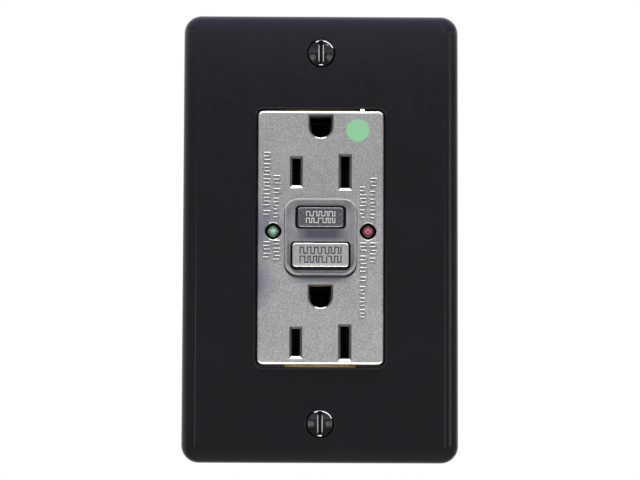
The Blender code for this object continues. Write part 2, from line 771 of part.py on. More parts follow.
def make_mechanism(finishes):
    """The reset plunger, the latch that holds it, and what they carry."""
    make_reset_plunger(finishes)
    make_springs(finishes)
    make_carriage(finishes)
    pivot = (0.0, *TEST_LEAF_PIVOT)
    box("test_leaf", (-1.5, 2.5, 3.9), (1.5, 2.9, 12.0), finishes["brass"], pivot)


def make_solenoid(finishes):
    """The trip solenoid: its axis is vertical, below the latch."""
    centre = (0.0, LATCH_Y)
    plastic = finishes["inner_plastic"]
    bobbin = box("solenoid_bobbin", (-5.5, 13.9, -13.2), (5.5, 22.9, -12.2), plastic)
    join(
        bobbin,
        turned("bobbin_tube", [(2.6, -23.5), (2.6, -12.7)], centre, "Z"),
        box("bobbin_lower_flange", (-5.5, 13.9, -24.0), (5.5, 22.9, -23.0)),
    )
    cut(bobbin, turned("bobbin_bore", [(1.9, -25.0), (1.9, -11.0)], centre, "Z"))
    profile = [(4.1, -22.7), (4.2, -22.4), (4.2, -13.8), (4.1, -13.5)]
    winding = turned("solenoid_coil", profile, centre, "Z", finishes["copper"], 20)
    shade_round(winding)
    bore = [(2.9, -24.0), (2.9, -12.0)]
    cut(winding, turned("coil_bore", bore, centre, "Z", segments=20))
    profile = [(1.5, -21.5), (1.5, -12.4), (0.9, -12.4), (0.9, -10.9)]
    origin = (0.0, LATCH_Y, -10.9)
    metal = finishes["zinc_steel"]
    shade_round(turned("solenoid_plunger", profile, centre, "Z", metal, 12, origin))


# -------------------------------------------------------------- electronics


def make_sensor(finishes):
    """Two toroidal cores in a ring-shaped case, round the line conductors."""
    centre = (0.0, SENSOR_Z)
    case = [
        (7.3, 14.6),
        (7.3, 22.8),
        (6.6, 22.8),
        (6.6, 15.4),
        (3.5, 15.4),
        (3.5, 22.8),
        (2.7, 22.8),
        (2.7, 14.6),
    ]
    turned_ring("sensor_case", case, centre, finishes["inner_plastic"])
    for name, front in (("differential_core", 15.7), ("neutral_core", 19.3)):
        back = front + 3.2
        section = [(3.8, front), (6.3, front), (6.3, back), (3.8, back)]
        turned_ring(name, section, centre, finishes["core"])


def make_board(finishes):
    quarter = [
        (17.6, 9.4),
        (14.4, 9.4),
        (14.4, 18.6),
        (17.6, 18.6),
        (17.6, 26.0),
        (13.5, 26.0),
        (13.5, 30.6),
    ]
    half = [*reversed(quarter), *[(x, -z) for x, z in quarter]]
    prism("circuit_board", mirrored(half), BOARD_FRONT, BOARD_BACK, "Y", finishes["board"])
    disc = [(3.6, 22.0), (4.2, 22.6), (4.2, 24.8), (3.6, 25.4)]
    turned("varistor", disc, (-12.2, 18.4), "Z", finishes["varistor_blue"])
    can = [(2.7, 14.8), (3.1, 15.2), (3.1, PARTS_BACK)]
    turned("capacitor", can, (11.6, 22.6), "Y", finishes["epoxy"])
    box("controller_chip", (-4.9, 21.0, -29.4), (4.9, PARTS_BACK, -25.5), finishes["epoxy"])
    box("thyristor", (8.0, 17.5, -24.0), (12.8, PARTS_BACK, -20.2), finishes["epoxy"])
    resistor = [(0.3, -4.4), (0.3, -3.2), (1.2, -3.0), (1.2, 3.0), (0.3, 3.2), (0.3, 4.4)]
    turned("test_resistor", resistor, (8.4, 7.6), "X", finishes["resistor_tan"], 10)


# ------------------------------------------------------- separator and body


def make_separator(finishes):
    """A channel that keeps the receptacle conductors apart from the electronics."""
    separator = box("separator", (-11.7, 0.5, -31.0), (11.7, 13.0, 31.0), finishes["inner_plastic"])
    cut(separator, box("separator_channel", (-10.9, 0.0, -32.0), (10.9, 11.6, 32.0)))
    floor = (11.0, 14.0)
    bore = [(1.6, y) for y in floor]
    holes = [turned("separator_bore", bore, (0.0, RESET_Z), "Y")]
    for place, z in GROUND_HOLES:
        low, high = (-3.0, floor[0], z - 3.1), (3.0, floor[1], z + 3.1)
        holes.append(box(f"separator_{place}_pin_hole", low, high))
    for pole, side, _ in POLES:
        low, high = (6.9, floor[0], -6.9), (10.7, floor[1], -2.6)
        holes.append(sided_box(f"separator_{pole}_contact_hole", side, low, high))
        low, high = (10.0, 7.8, -17.4), (12.5, 9.4, -10.6)
        holes.append(sided_box(f"separator_{pole}_tab_hole", side, low, high))
    cut(separator, *holes)


def wire_cutters(pole, side, end, sign):
    """The open side round a terminal, and the two wire holes behind it."""
    low, high = sorted((sign * 8.4, sign * 19.6))
    name = f"body_{pole}_{end}"
    cutters = [sided_box(f"{name}_window", side, (17.0, 6.0, low), (22.0, 18.3, high))]
    profile = [(1.4, 25.0), (1.4, BODY_BACK + PAST)]
    for i, shift in enumerate((-2.6, 2.6)):
        centre = (side * 16.2, sign * TERMINAL_Z + shift)
        hole = turned(f"{name}_wire_hole_{i}", profile, centre, "Y", segments=12)
        cutters.append(hole)
    return cutters


def make_back_body(finishes):
    chamfer = 0.8
    size = (BODY_WIDTH, BODY_HEIGHT)
    loops = [
        (rounded_rectangle(grown(size, -inset), BODY_CORNER, segments=3), y)
        for inset, y in ((0.0, SPLIT + GAP), (0.0, BODY_BACK - chamfer), (chamfer, BODY_BACK))
    ]
    body = loft("back_body", loops, "Y", finishes["back_plastic"])
    inner_x, inner_z = BODY_WIDTH / 2 - BODY_WALL, BODY_HEIGHT / 2 - BODY_WALL
    cut(body, box("body_hollow", (-inner_x, 6.0, -inner_z), (inner_x, BODY_INNER_BACK, inner_z)))
    for end, sign in END_SIGNS:
        low, high = sorted((sign * 31.7, sign * 32.7))
        join(body, box(f"body_{end}_tongue", (-9.3, 0.4, low), (9.3, 8.0, high)))
    for i, (sx, sz) in enumerate(CORNERS):
        centre = (sx * CORNER_SCREW[0], sz * CORNER_SCREW[1])
        join(body, turned(f"body_post_{i}", [(2.8, SPLIT + GAP), (2.8, 26.5)], centre, "Y"))
        bore = [(1.4, 6.0), (1.4, 27.0)]
        counterbore = [(2.5, 26.0), (2.5, 28.0)]
        cut(
            body,
            turned(f"body_bore_{i}", bore, centre, "Y", segments=12),
            turned(f"body_counterbore_{i}", counterbore, centre, "Y"),
        )
    for pole, side, _ in POLES:
        cut(body, *wire_cutters(pole, side, "line", 1), *wire_cutters(pole, side, "load", -1))


def make_housing_screws(finishes):
    """Four screws from the back, through the body and into the cover's posts."""
    profile = [(0.7, 2.0), (1.1, 2.6), (1.1, 26.3), (2.2, 26.3), (2.2, 27.0), (1.8, 27.3)]
    for i, (sx, sz) in enumerate(CORNERS):
        name = f"housing_screw_{i + 1}"
        x, z = sx * CORNER_SCREW[0], sz * CORNER_SCREW[1]
        slot = box(f"{name}_slot", (x - 3.0, 26.8, z - 0.35), (x + 3.0, 28.0, z + 0.35))
        screw(name, profile, (x, z), "Y", finishes["zinc_steel"], (x, 27.3, z), slot, 12)


def remove_everything():
    for obj in list(bpy.data.objects):
        bpy.data.objects.remove(obj, do_unlink=True)


def main():
    remove_everything()
    finishes = make_finishes()
    make_wall_plate(finishes)
    make_front_cover(finishes)
    make_buttons(finishes)
    make_lamps(finishes)
    make_strap(finishes)
    make_ground_contacts(finishes)
    make_plate_screws(finishes)
    make_mounting_screws(finishes)
    make_ground_screw(finishes)
    make_terminals(finishes)
    make_conductors(finishes)
    make_contacts(finishes)
    make_mechanism(finishes)
    make_solenoid(finishes)
    make_sensor(finishes)
    make_board(finishes)
    make_separator(finishes)
    make_back_body(finishes)
    make_housing_screws(finishes)


main()
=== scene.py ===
import json
import math
import random

import bmesh
import bpy
from mathutils import Matrix, Vector


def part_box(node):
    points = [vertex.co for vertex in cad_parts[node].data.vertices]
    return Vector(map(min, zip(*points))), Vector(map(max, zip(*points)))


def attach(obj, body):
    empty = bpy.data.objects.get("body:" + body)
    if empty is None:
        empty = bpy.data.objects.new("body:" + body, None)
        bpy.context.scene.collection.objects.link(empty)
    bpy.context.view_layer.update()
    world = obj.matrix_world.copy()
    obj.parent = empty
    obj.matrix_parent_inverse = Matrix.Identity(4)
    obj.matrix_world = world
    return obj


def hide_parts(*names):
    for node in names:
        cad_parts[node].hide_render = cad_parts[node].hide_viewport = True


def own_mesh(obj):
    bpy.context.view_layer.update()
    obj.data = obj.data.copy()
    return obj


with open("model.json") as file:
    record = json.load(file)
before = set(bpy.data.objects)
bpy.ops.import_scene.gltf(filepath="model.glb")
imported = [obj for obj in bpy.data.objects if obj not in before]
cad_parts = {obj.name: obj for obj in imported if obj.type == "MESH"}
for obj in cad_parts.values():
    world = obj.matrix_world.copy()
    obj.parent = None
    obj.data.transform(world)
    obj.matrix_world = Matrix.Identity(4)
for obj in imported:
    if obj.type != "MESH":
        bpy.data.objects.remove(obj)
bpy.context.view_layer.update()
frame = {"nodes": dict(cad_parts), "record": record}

# Shapes below are in millimetres, in the frame's axes, and add_piece turns them into metres.
MM = 0.001
DEVICE = "device"

# Details that the frame's boxes do not give, in millimetres
PLATE_WALL = 1.9
PLATE_CORNER = 4.6
PLATE_RIM_DEPTH = 2.6
PLATE_BEVEL = 3.6
OPENING = (33.4, 67.5)
OPENING_CORNER = 1.8
OPENING_ROUND = 0.6
COLLAR_WIDTH = 1.2
COLLAR_BACK = -2.9
COUNTERSINK_RADIUS = 3.7
SCREW_HOLE_RADIUS = 2.0
BOSS_RADIUS = 3.1
FACE = (32.6, 66.0)
FACE_CORNER = 1.4
FACE_ROUND = 0.7
FACE_BACK = -4.8
INSIDE = (37.6, 63.2)
FACE_INSIDE = (29.0, 63.2)
LEDGE = -0.9
NOTCH = 9.27
SHOULDER_FRONT = -2.6
SHOULDER_CORNER = 1.5
SHOULDER_HEIGHT = 65.6
FLANGE_RISE = 1.15
FLANGE_BACK = -1.35
BLADE_X = 6.35
GROUND_OFFSET = 11.85
BLADES_Z = (17.05, -27.4)
HOT_SLOT = (2.25, 7.1)
NEUTRAL_SLOT = (2.3, 8.4)
HOT_GROWTH = (0.52, 0.5, 0.68)
NEUTRAL_GROWTH = (0.55, 0.5, 0.6)
SLOT_DEPTH = 0.6
GROUND_GROWTH = (0.42, 0.33, 0.32)
GROUND_HOLE_RADIUS = 2.85
PANEL = (18.7, 20.3)
PANEL_CORNER = 3.5
PANEL_DEPTH = 0.6
PANEL_RIM = 0.3
TEST_WINDOW = (13.1, 5.9)
RESET_WINDOW = (15.5, 7.3)
RESET_DROP = 0.1
WINDOW_CORNER = 1.0
FLANGE_GROWTH = 1.0
MARK_STROKE = 0.4
MARK_WIDTH = 1.45
MARK_PITCH = 0.95
MARK_HEIGHT = 0.18
MARK_SLOPE = 0.11
MARK_COLUMNS = (
    (-14.0, 22.0, 4.2),
    (-14.0, -1.4, -6.6),
    (-11.4, 15.9, 4.2),
    (-11.4, -1.0, -7.4),
    (13.75, 15.3, 4.2),
    (13.75, -1.6, -7.3),
    (11.1, 13.0, 4.2),
    (11.1, -1.6, -21.4),
)
DOT_PLACE = (9.64, 27.94)
DOT_RADIUS = 2.98
DOT_POINTS = 72
DOT_UNEVENNESS = 0.03
RIB_ENDS = (10.3, 11.4)
RIB_RISE = 0.66
LAMP_HOLE_RADIUS = 2.1
THREAD_RADIUS = 1.65
THREAD_PITCH = 0.794
THREAD_DEPTH = 0.2
BUTTON_BACK = -3.7
BUTTON_FLANGE_FRONT = -4.5
BUTTON_CORNER = 0.85
BUTTON_ROUND = 0.34

# The frames round the terminal plates: their near and far side, their height on the outlet, and
# the (size, middle) along Y of their outline and of their hole
SHROUD_SIDES = (17.8, 18.6)
SHROUD_HEIGHT = 14.0
SHROUD_OUTLINE = ((13.0, 12.6), 12.3)
SHROUD_HOLE = ((9.5, 9.8), 13.05)

# The height of the floor, in metres
FLOOR_HEIGHT = -0.22

# The camera, from the front and a little below
CAMERA_TARGET = (-0.13, -4.0, -0.53)
CAMERA_AZIMUTH = -0.42
CAMERA_ELEVATION = -4.5
CAMERA_ROLL = 0.2
CAMERA_DISTANCE = 0.62
CAMERA_LENS = 133.5

NODE_SLOTS = {entry["node"]: entry["material_slot"] for entry in frame["record"]["subparts"]}


def box_of(node):
    """(centre, size) of a CAD node, in millimetres."""
    low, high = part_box(node)
    return (low + high) / (2 * MM), (high - low) / MM


def low_of(node):
    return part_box(node)[0] / MM


def high_of(node):
    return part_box(node)[1] / MM


def place_of(node):
    """(x, z) of the middle of a CAD node."""
    return box_of(node)[0].xz


# ------------------------------------------------------------------ outlines


def arc(centre, radius, start, end, segments):
    """Points along an arc, in degrees, both ends included."""
    turns = [math.radians(start + (end - start) * i / segments) for i in range(segments + 1)]
    return [(centre[0] + radius * math.cos(t), centre[1] + radius * math.sin(t)) for t in turns]


def circle(centre, radius, segments=64):
    return arc(centre, radius, 0, 360, segments)[:-1]


def cushion(centre, radius, swell, segments=48):
    """A circle that swells towards its top, bottom and sides."""
    turns = [math.tau * i / segments for i in range(segments)]
    reach = [radius + swell * math.cos(4 * t) for t in turns]
    return [(centre[0] + r * math.cos(t), centre[1] + r * math.sin(t)) for r, t in zip(reach, turns)]


def rounded(size, radius, centre=(0.0, 0.0), segments=12):
    """A rectangle with round corners."""
    half_x, half_z = size[0] / 2 - radius, size[1] / 2 - radius
    outline = []
    for quarter, (sx, sz) in enumerate(((1, 1), (-1, 1), (-1, -1), (1, -1))):
        middle = (centre[0] + sx * half_x, centre[1] + sz * half_z)
        outline += arc(middle, radius, 90 * quarter, 90 * quarter + 90, segments)
    return outline


def grown(size, amount):
    return (size[0] + 2 * amount, size[1] + 2 * amount)


def quarter_round(radius, front, steps):
    """(inset, y) from a side, round a front edge, to its flat."""
    turns = [math.pi / 2 * i / steps for i in range(steps + 1)]
    return [(radius * (1 - math.cos(t)), front + radius * (1 - math.sin(t))) for t in turns]


# -------------------------------------------------------------- mesh building


def mesh_from(shape, name):
    """A mesh from a bmesh, which is freed."""
    mesh = bpy.data.meshes.new(name)
    shape.to_mesh(mesh)
    shape.free()
    return mesh


# Material slots of a piece. DARK is painted shade in holes, gaps, grooves and under edges, and EDGE is a
# painted highlight, which on the TEST cap also colours the tops of its raised marks. The last four depend
# on whether a face looks up or down, as painted light: faces that look up take EDGE, roundings take it at
# their top and bottom, and the walls of openings and faces that look down take DARK.
MAIN, DARK, EDGE, FLOOR, MOUTH, ROUNDING, RELIEF, ROUND_MOUTH = range(8)


def painted_light_by_facing(kind, up):
    """The slot of a face, from how far its normal points up."""
    if kind == MOUTH:
        return EDGE if up > 0.25 else DARK
    if kind == ROUNDING:
        return EDGE if abs(up) > 0.35 else MAIN
    if kind == RELIEF:
        return EDGE if up > 0.3 else DARK if up < -0.3 else MAIN
    if kind == ROUND_MOUTH:
        return EDGE if up > 0.8 else DARK
    return kind


class Skin:
    """A closed mesh made of rings of points, joined by strips and filled by flats.

    New faces take the skin's own finish where none is named.
    """

    def __init__(self, finish=MAIN):
        self.shape = bmesh.new()
        self.finish = finish

    def points(self, places):
        return [self.shape.verts.new(place) for place in places]

    def ring(self, outline, y):
        return self.points([(x, y, z) for x, z in outline])

    def strip(self, first, second, finish=None):
        count = len(first)
        for i in range(count):
            j = (i + 1) % count
            face = self.shape.faces.new((first[i], first[j], second[j], second[i]))
            face.material_index = self.finish if finish is None else finish

    def strips(self, outline_at, profile, start=None, finish=None):
        """Rings at each (growth, y) of a profile, joined in turn. Returns the last ring."""
        ring = start
        for growth, y in profile:
            following = self.ring(outline_at(growth), y)
            if ring:
                self.strip(ring, following, finish)
            ring = following
        return ring

    def flat(self, *rings, finish=None):
        """Fills the area inside the first ring and outside the others."""
        edges = []
        for ring in rings:
            for i, vert in enumerate(ring):
                pair = (vert, ring[(i + 1) % len(ring)])
                edges.append(self.shape.edges.get(pair) or self.shape.edges.new(pair))
        made = bmesh.ops.triangle_fill(self.shape, edges=edges, use_beauty=True)
        for part in made["geom"]:
            if isinstance(part, bmesh.types.BMFace):
                part.material_index = self.finish if finish is None else finish

    def relief(self, outlines, base, height, finish=MAIN):
        """A raised mark from its outlines at the base and top, or a cut one if height is negative."""
        ring = self.ring(outlines[0], base)
        end = self.ring(outlines[1], base - height)
        self.strip(ring, end, RELIEF)
        self.flat(end, finish=finish)
        return ring

    def mesh(self, name):
        bmesh.ops.recalc_face_normals(self.shape, faces=self.shape.faces)
        for face in self.shape.faces:
            face.material_index = painted_light_by_facing(face.material_index, face.normal.z)
        return mesh_from(self.shape, name)


def give_looks(mesh, looks, slot=None):
    """Adds materials to a mesh, and puts all its faces on one of them if its slot is given."""
    for look in looks:
        mesh.materials.append(look)
    if slot is not None:
        for face in mesh.polygons:
            face.material_index = slot
    return mesh


def add_piece(name, mesh, material, body=DEVICE, replaces=(), sharp=35, soften=True):
    """Puts a mesh in millimetres into the scene as a piece that rides on a body."""
    mesh.transform(Matrix.Scale(MM, 4))
    mesh.shade_smooth()
    mesh.set_sharp_from_angle(angle=math.radians(sharp))
    if not mesh.materials:
        for finish in material if isinstance(material, tuple) else (material,):
            mesh.materials.append(finish)
    piece = bpy.data.objects.new(name, mesh)
    bpy.context.scene.collection.objects.link(piece)
    if soften:
        weigh_normals(piece)
    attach(piece, body)
    if replaces:
        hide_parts(*replaces)
    return piece


def weigh_normals(piece):
    modifier = piece.modifiers.new("even_shading", "WEIGHTED_NORMAL")
    modifier.keep_sharp = True


def bevel_edges(piece, width, segments=2, angle=30):
    modifier = piece.modifiers.new("worn_edges", "BEVEL")
    modifier.width = width * MM
    modifier.segments = segments
    modifier.limit_method = "ANGLE"
    modifier.angle_limit = math.radians(angle)
    modifier.use_clamp_overlap = True


def tube_mesh(name, rows):
    """A closed skin over rows of points, flat at both ends."""
    skin = Skin()
    rings = [skin.points(row) for row in rows]
    for first, second in zip(rings, rings[1:]):
        skin.strip(first, second)
    for end in (rings[0], rings[-1]):
        skin.shape.faces.new(end)
    return skin.mesh(name)


def placed(across, along, axis):
    """A point from its two coordinates across an axis and its place along it."""
    u, v = across
    return {"X": (along, u, v), "Y": (u, along, v), "Z": (u, v, along)}[axis]


def turned_mesh(name, profile, centre, axis, segments=48):
    """A solid of revolution through (radius, place along the axis) pairs."""
    rows = [[placed(p, along, axis) for p in circle(centre, radius, segments)] for radius, along in profile]
    return tube_mesh(name, rows)


def box_mesh(name, low, high):
    shape = bmesh.new()
    bmesh.ops.create_cube(shape, size=1.0)
    size = Vector(high) - Vector(low)
    bmesh.ops.scale(shape, verts=shape.verts, vec=size)
    bmesh.ops.translate(shape, verts=shape.verts, vec=(Vector(low) + Vector(high)) / 2)
    return mesh_from(shape, name)


def combined(mesh, tools, operation="DIFFERENCE"):
    """The mesh after Boolean operations with other meshes, all in millimetres."""
    base = bpy.data.objects.new("boolean_base", mesh)
    bpy.context.scene.collection.objects.link(base)
    others = []
    for tool in tools:
        other = bpy.data.objects.new("boolean_tool", tool)
        bpy.context.scene.collection.objects.link(other)
        modifier = base.modifiers.new("boolean", "BOOLEAN")
        modifier.operation = operation
        modifier.solver = "EXACT"
        modifier.object = other
        others.append(other)
    bpy.context.view_layer.update()
    graph = bpy.context.evaluated_depsgraph_get()
    result = bpy.data.meshes.new_from_object(base.evaluated_get(graph))
    for obj in (base, *others):
        bpy.data.objects.remove(obj)
    return result


def threaded_mesh(name, centre, axis, start, end, radius=THREAD_RADIUS, segments=28):
    """A shank with a helical thread, from just inside start to a chamfered end."""
    length = abs(end - start)
    sign = 1 if end > start else -1
    per_turn = 8
    rows = []
    for k in range(int(length / THREAD_PITCH * per_turn) + 1):
        along = k / per_turn * THREAD_PITCH
        fade = max(min(1.0, (length - along) / 0.9, along / 0.5 + 0.1), 0.0)
        taper = 0.35 * max(0.0, 1 - (length - along) / 0.5)
        row = []
        for i in range(segments):
            turn = math.tau * i / segments
            phase = (along / THREAD_PITCH - i / segments) % 1.0
            reach = radius - THREAD_DEPTH * abs(2 * phase - 1) * fade - taper
            across = (centre[0] + reach * math.cos(turn), centre[1] + reach * math.sin(turn))
            row.append(placed(across, start + sign * along, axis))
        rows.append(row)
    return tube_mesh(name, rows)


def joined(name, *meshes):
    """Several meshes as one, each still a closed body of its own."""
    shape = bmesh.new()
    for mesh in meshes:
        shape.from_mesh(mesh)
    return mesh_from(shape, name)


# ------------------------------------------------------------------ materials


class Nodes:
    """A node tree, with short ways to add nodes and links."""

    def __init__(self, tree):
        self.tree = tree

    def node(self, kind, inputs=(), **values):
        """A node with its properties, and the values of its inputs by name or number."""
        made = self.tree.nodes.new(kind)
        for key, value in values.items():
            setattr(made, key, value)
        for key, value in dict(inputs).items():
            made.inputs[key].default_value = value
        return made

    def link(self, output, target):
        self.tree.links.new(output, target)


class Finish(Nodes):
    """A Principled material whose colour, roughness and bump come from procedural nodes."""

    def __init__(self, name, colour, roughness, metallic=0.0, **values):
        self.material = bpy.data.materials.new(name)
        self.material.use_nodes = True
        super().__init__(self.material.node_tree)
        self.shader = self.tree.nodes["Principled BSDF"]
        self.set("Base Color", (*colour, 1.0))
        self.set("Roughness", roughness)
        self.set("Metallic", metallic)
        for socket, value in values.items():
            self.set(socket.replace("_", " "), value)
        self.place = self.node("ShaderNodeTexCoord").outputs["Object"]
        self.bump_end = None

    def set(self, socket, value):
        self.shader.inputs[socket].default_value = value

    def noise(self, size, detail=2.0, stretch=(1, 1, 1), distortion=0.0):
        """Noise with features of a size in millimetres."""
        mapping = self.node("ShaderNodeMapping", {"Scale": stretch})
        self.link(self.place, mapping.inputs["Vector"])
        values = {"Scale": 1 / (size * MM), "Detail": detail, "Distortion": distortion}
        texture = self.node("ShaderNodeTexNoise", values)
        self.link(mapping.outputs["Vector"], texture.inputs["Vector"])
        return texture.outputs["Fac"]

    def spread(self, value, low, high, start=0.3, end=0.7):
        """Maps a texture's value onto a range."""
        values = {"From Min": start, "From Max": end, "To Min": low, "To Max": high}
        node = self.node("ShaderNodeMapRange", values)
        self.link(value, node.inputs["Value"])
        return node.outputs["Result"]

    def offset(self, name, middle):
        """Distance along one axis from a place in millimetres, in metres."""
        gap = self.calculate("SUBTRACT", self.axis(name), middle * MM)
        return self.calculate("ABSOLUTE", gap)

    def calculate(self, operation, first, second=None):
        """The result of a Math node. The second value may be a number."""
        node = self.node("ShaderNodeMath", operation=operation)
        self.link(first, node.inputs[0])
        if isinstance(second, float):
            node.inputs[1].default_value = second
        elif second:
            self.link(second, node.inputs[1])
        return node.outputs["Value"]

    def product(self, first, second):
        return self.calculate("MULTIPLY", first, second)

    def grey(self, value):
        """A value as a colour."""
        node = self.node("ShaderNodeCombineColor")
        for channel in ("Red", "Green", "Blue"):
            self.link(value, node.inputs[channel])
        return node.outputs["Color"]

    def colour_mix(self, blend_type="MIX"):
        """A Mix node between the colour so far, as its A, and the shader."""
        mix = self.node("ShaderNodeMix", data_type="RGBA", blend_type=blend_type)
        source = self.shader.inputs["Base Color"]
        if source.is_linked:
            self.link(source.links[0].from_socket, mix.inputs["A"])
        else:
            mix.inputs["A"].default_value = source.default_value
        self.link(mix.outputs["Result"], source)
        return mix

    def vary_colour(self, value, dark, light, start=0.3, end=0.7):
        """Multiplies the colour by a factor that follows a texture."""
        mix = self.colour_mix("MULTIPLY")
        mix.inputs["Factor"].default_value = 1.0
        self.link(self.grey(self.spread(value, dark, light, start, end)), mix.inputs["B"])

    def tint(self, value, colour):
        """Mixes another colour in where a value is high."""
        mix = self.colour_mix()
        mix.inputs["B"].default_value = (*colour, 1.0)
        self.link(value, mix.inputs["Factor"])

    def vary_roughness(self, value, low, high):
        self.link(self.spread(value, low, high), self.shader.inputs["Roughness"])

    def bump(self, value, height):
        """Adds relief, height in millimetres."""
        node = self.node("ShaderNodeBump", {"Distance": height * MM})
        self.link(value, node.inputs["Height"])
        if self.bump_end:
            self.link(self.bump_end, node.inputs["Normal"])
        self.bump_end = node.outputs["Normal"]
        self.link(self.bump_end, self.shader.inputs["Normal"])

    def axis(self, name):
        """One coordinate of the surface point, in metres."""
        node = self.node("ShaderNodeSeparateXYZ")
        self.link(self.place, node.inputs["Vector"])
        return node.outputs[name]

    def distance(self, centre):
        """Distance in metres from a line along Y through (x, z) in millimetres."""
        split = self.node("ShaderNodeSeparateXYZ")
        self.link(self.place, split.inputs["Vector"])
        join = self.node("ShaderNodeCombineXYZ")
        for name in ("X", "Z"):
            self.link(split.outputs[name], join.inputs[name])
        point = (centre[0] * MM, 0.0, centre[1] * MM)
        node = self.node("ShaderNodeVectorMath", {1: point}, operation="DISTANCE")
        self.link(join.outputs["Vector"], node.inputs[0])
        return node.outputs["Value"]


def plate_plastic():
    f = Finish("plate_plastic", (0.0044, 0.0043, 0.0054), 0.1)
    f.vary_colour(f.noise(9.0, 3.0), 0.9, 1.12)
    f.vary_roughness(f.noise(1.6, 4.0), 0.08, 0.14)
    f.bump(f.noise(6.0, 1.0), 0.006)
    f.bump(f.noise(0.9, 2.0), 0.0012)
    return f.material


def face_plastic():
    """Grey moulding, a little lighter towards the bottom and darker at the left of its middle, with a painted
    shadow on the face just below the button panel.
    """
    f = Finish("face_plastic", (0.18, 0.179, 0.176), 0.4)
    f.vary_colour(f.noise(0.5, 2.0), 0.7, 1.3)
    f.vary_colour(f.noise(1.6, 3.0), 0.93, 1.07)
    f.vary_colour(f.noise(12.0, 2.0), 0.93, 1.06)
    f.vary_colour(f.axis("Z"), 1.12, 0.97, -30 * MM, 6 * MM)
    front_only = f.spread(f.axis("Y"), 1.0, 0.0, -5.5 * MM, -3.5 * MM)
    for place, amount, near, far, colour in (
        ((-20.0, -12.0), 0.95, 3.5, 9.0, (0.075, 0.072, 0.098)),
        ((-18.5, 2.0), 0.9, 2.5, 9.5, (0.085, 0.081, 0.103)),
    ):
        patch = f.spread(f.distance(place), amount, 0.0, near * MM, far * MM)
        f.tint(f.product(patch, front_only), colour)
    # Painted shadow: a darker band on the face just below the bottom of the button panel.
    across = f.spread(f.offset("X", 0.0), 1.0, 0.0, 4.5 * MM, 8.5 * MM)
    along = f.spread(f.offset("Z", -10.8), 0.8, 0.0, 0.3 * MM, 1.5 * MM)
    f.tint(f.product(across, along), (0.06, 0.06, 0.065))
    f.vary_roughness(f.noise(0.5, 3.0), 0.34, 0.5)
    f.bump(f.noise(0.42, 2.0), 0.03)
    return f.material


def panel_plastic():
    """The sunk floor round the buttons, with painted shade at its top and between the buttons, and painted
    light along its bottom.
    """
    f = Finish("panel_plastic", (0.158, 0.157, 0.161), 0.36)
    f.vary_colour(f.noise(0.5, 2.0), 0.82, 1.18)
    f.vary_colour(f.noise(2.4, 3.0), 0.88, 1.1)
    # Painted shade along the top of the floor, and painted light along its bottom.
    f.vary_colour(f.axis("Z"), 1.0, 0.55, 7.9 * MM, 9.2 * MM)
    f.vary_colour(f.axis("Z"), 1.25, 1.0, -9.8 * MM, -8.6 * MM)
    # Painted shade on the floor between the two buttons.
    across = f.spread(f.offset("X", 0.3), 1.0, 0.0, 3.5 * MM, 8.0 * MM)
    along = f.spread(f.offset("Z", 0.85), 1.0, 0.0, 0.7 * MM, 2.2 * MM)
    f.tint(f.product(across, along), (0.05, 0.047, 0.062))
    f.vary_roughness(f.noise(0.5, 3.0), 0.28, 0.44)
    f.bump(f.noise(0.42, 2.0), 0.03)
    return f.material


def cap_plastic(name, colour, roughness, grain):
    f = Finish(name, colour, roughness)
    f.vary_colour(f.noise(0.3, 2.0), 0.88, 1.12)
    f.vary_roughness(f.noise(0.8, 3.0), roughness * 0.8, roughness * 1.2)
    f.bump(f.noise(0.3, 2.0), grain)
    return f.material


def lamp_plastic(name, colour, core, centre):
    f = Finish(name, colour, 0.14, Coat_Weight=0.5)
    f.vary_colour(f.noise(0.45, 3.0), 0.5, 1.5)
    # A painted glow: a paler colour in the middle of the lens.
    middle = f.spread(f.distance(centre), 1.0, 0.0, 0.15 * MM, 0.6 * MM)
    f.tint(middle, core)
    f.bump(f.noise(0.5, 2.0), 0.03)
    return f.material


# The stretch of noise that makes fine lines across Z
DRAWN = (1, 1, 12)


def rolled_metal(name, colour, roughness, lines=DRAWN, size=0.5):
    """Metal with fine drawn lines and patches of dulling."""
    f = Finish(name, colour, roughness, 1.0)
    grain = f.noise(size, 4.0, lines)
    f.vary_colour(f.noise(6.0, 3.0), 0.85, 1.08)
    f.vary_colour(grain, 0.92, 1.05)
    f.vary_roughness(grain, roughness * 0.7, roughness * 1.35)
    f.bump(grain, 0.004)
    return f.material


def strap_brass():
    """Dull, lightly oxidised brass with drawn lines, painted darker towards its top as the shade under the
    plate.
    """
    f = Finish("strap_brass", (0.95, 0.69, 0.28), 0.45, 0.35)
    # Painted shade: darker towards the top, where the plate shades the strap in the gap.
    f.vary_colour(f.axis("Z"), 1.12, 0.62, -33 * MM, 33 * MM)
    f.vary_colour(f.noise(5.0, 3.0), 0.82, 1.1)
    f.vary_colour(f.noise(0.5, 4.0, DRAWN), 0.9, 1.06)
    f.vary_roughness(f.noise(0.5, 4.0, DRAWN), 0.34, 0.54)
    f.bump(f.noise(0.5, 4.0, DRAWN), 0.004)
    return f.material


def spring_brass():
    """Brass that is bright at the terminals and much darker inside the case, as painted shade."""
    f = Finish("spring_brass", (0.66, 0.47, 0.19), 0.42, 1.0)
    # Painted shade: near the middle of the case the brass is made far darker than at the terminals.
    f.vary_colour(f.offset("X", 0.0), 0.12, 1.0, 13.5 * MM, 16.0 * MM)
    f.vary_colour(f.noise(6.0, 3.0), 0.85, 1.08)
    f.vary_roughness(f.noise(0.5, 4.0, DRAWN), 0.3, 0.6)
    f.bump(f.noise(0.5, 4.0, DRAWN), 0.004)
    return f.material


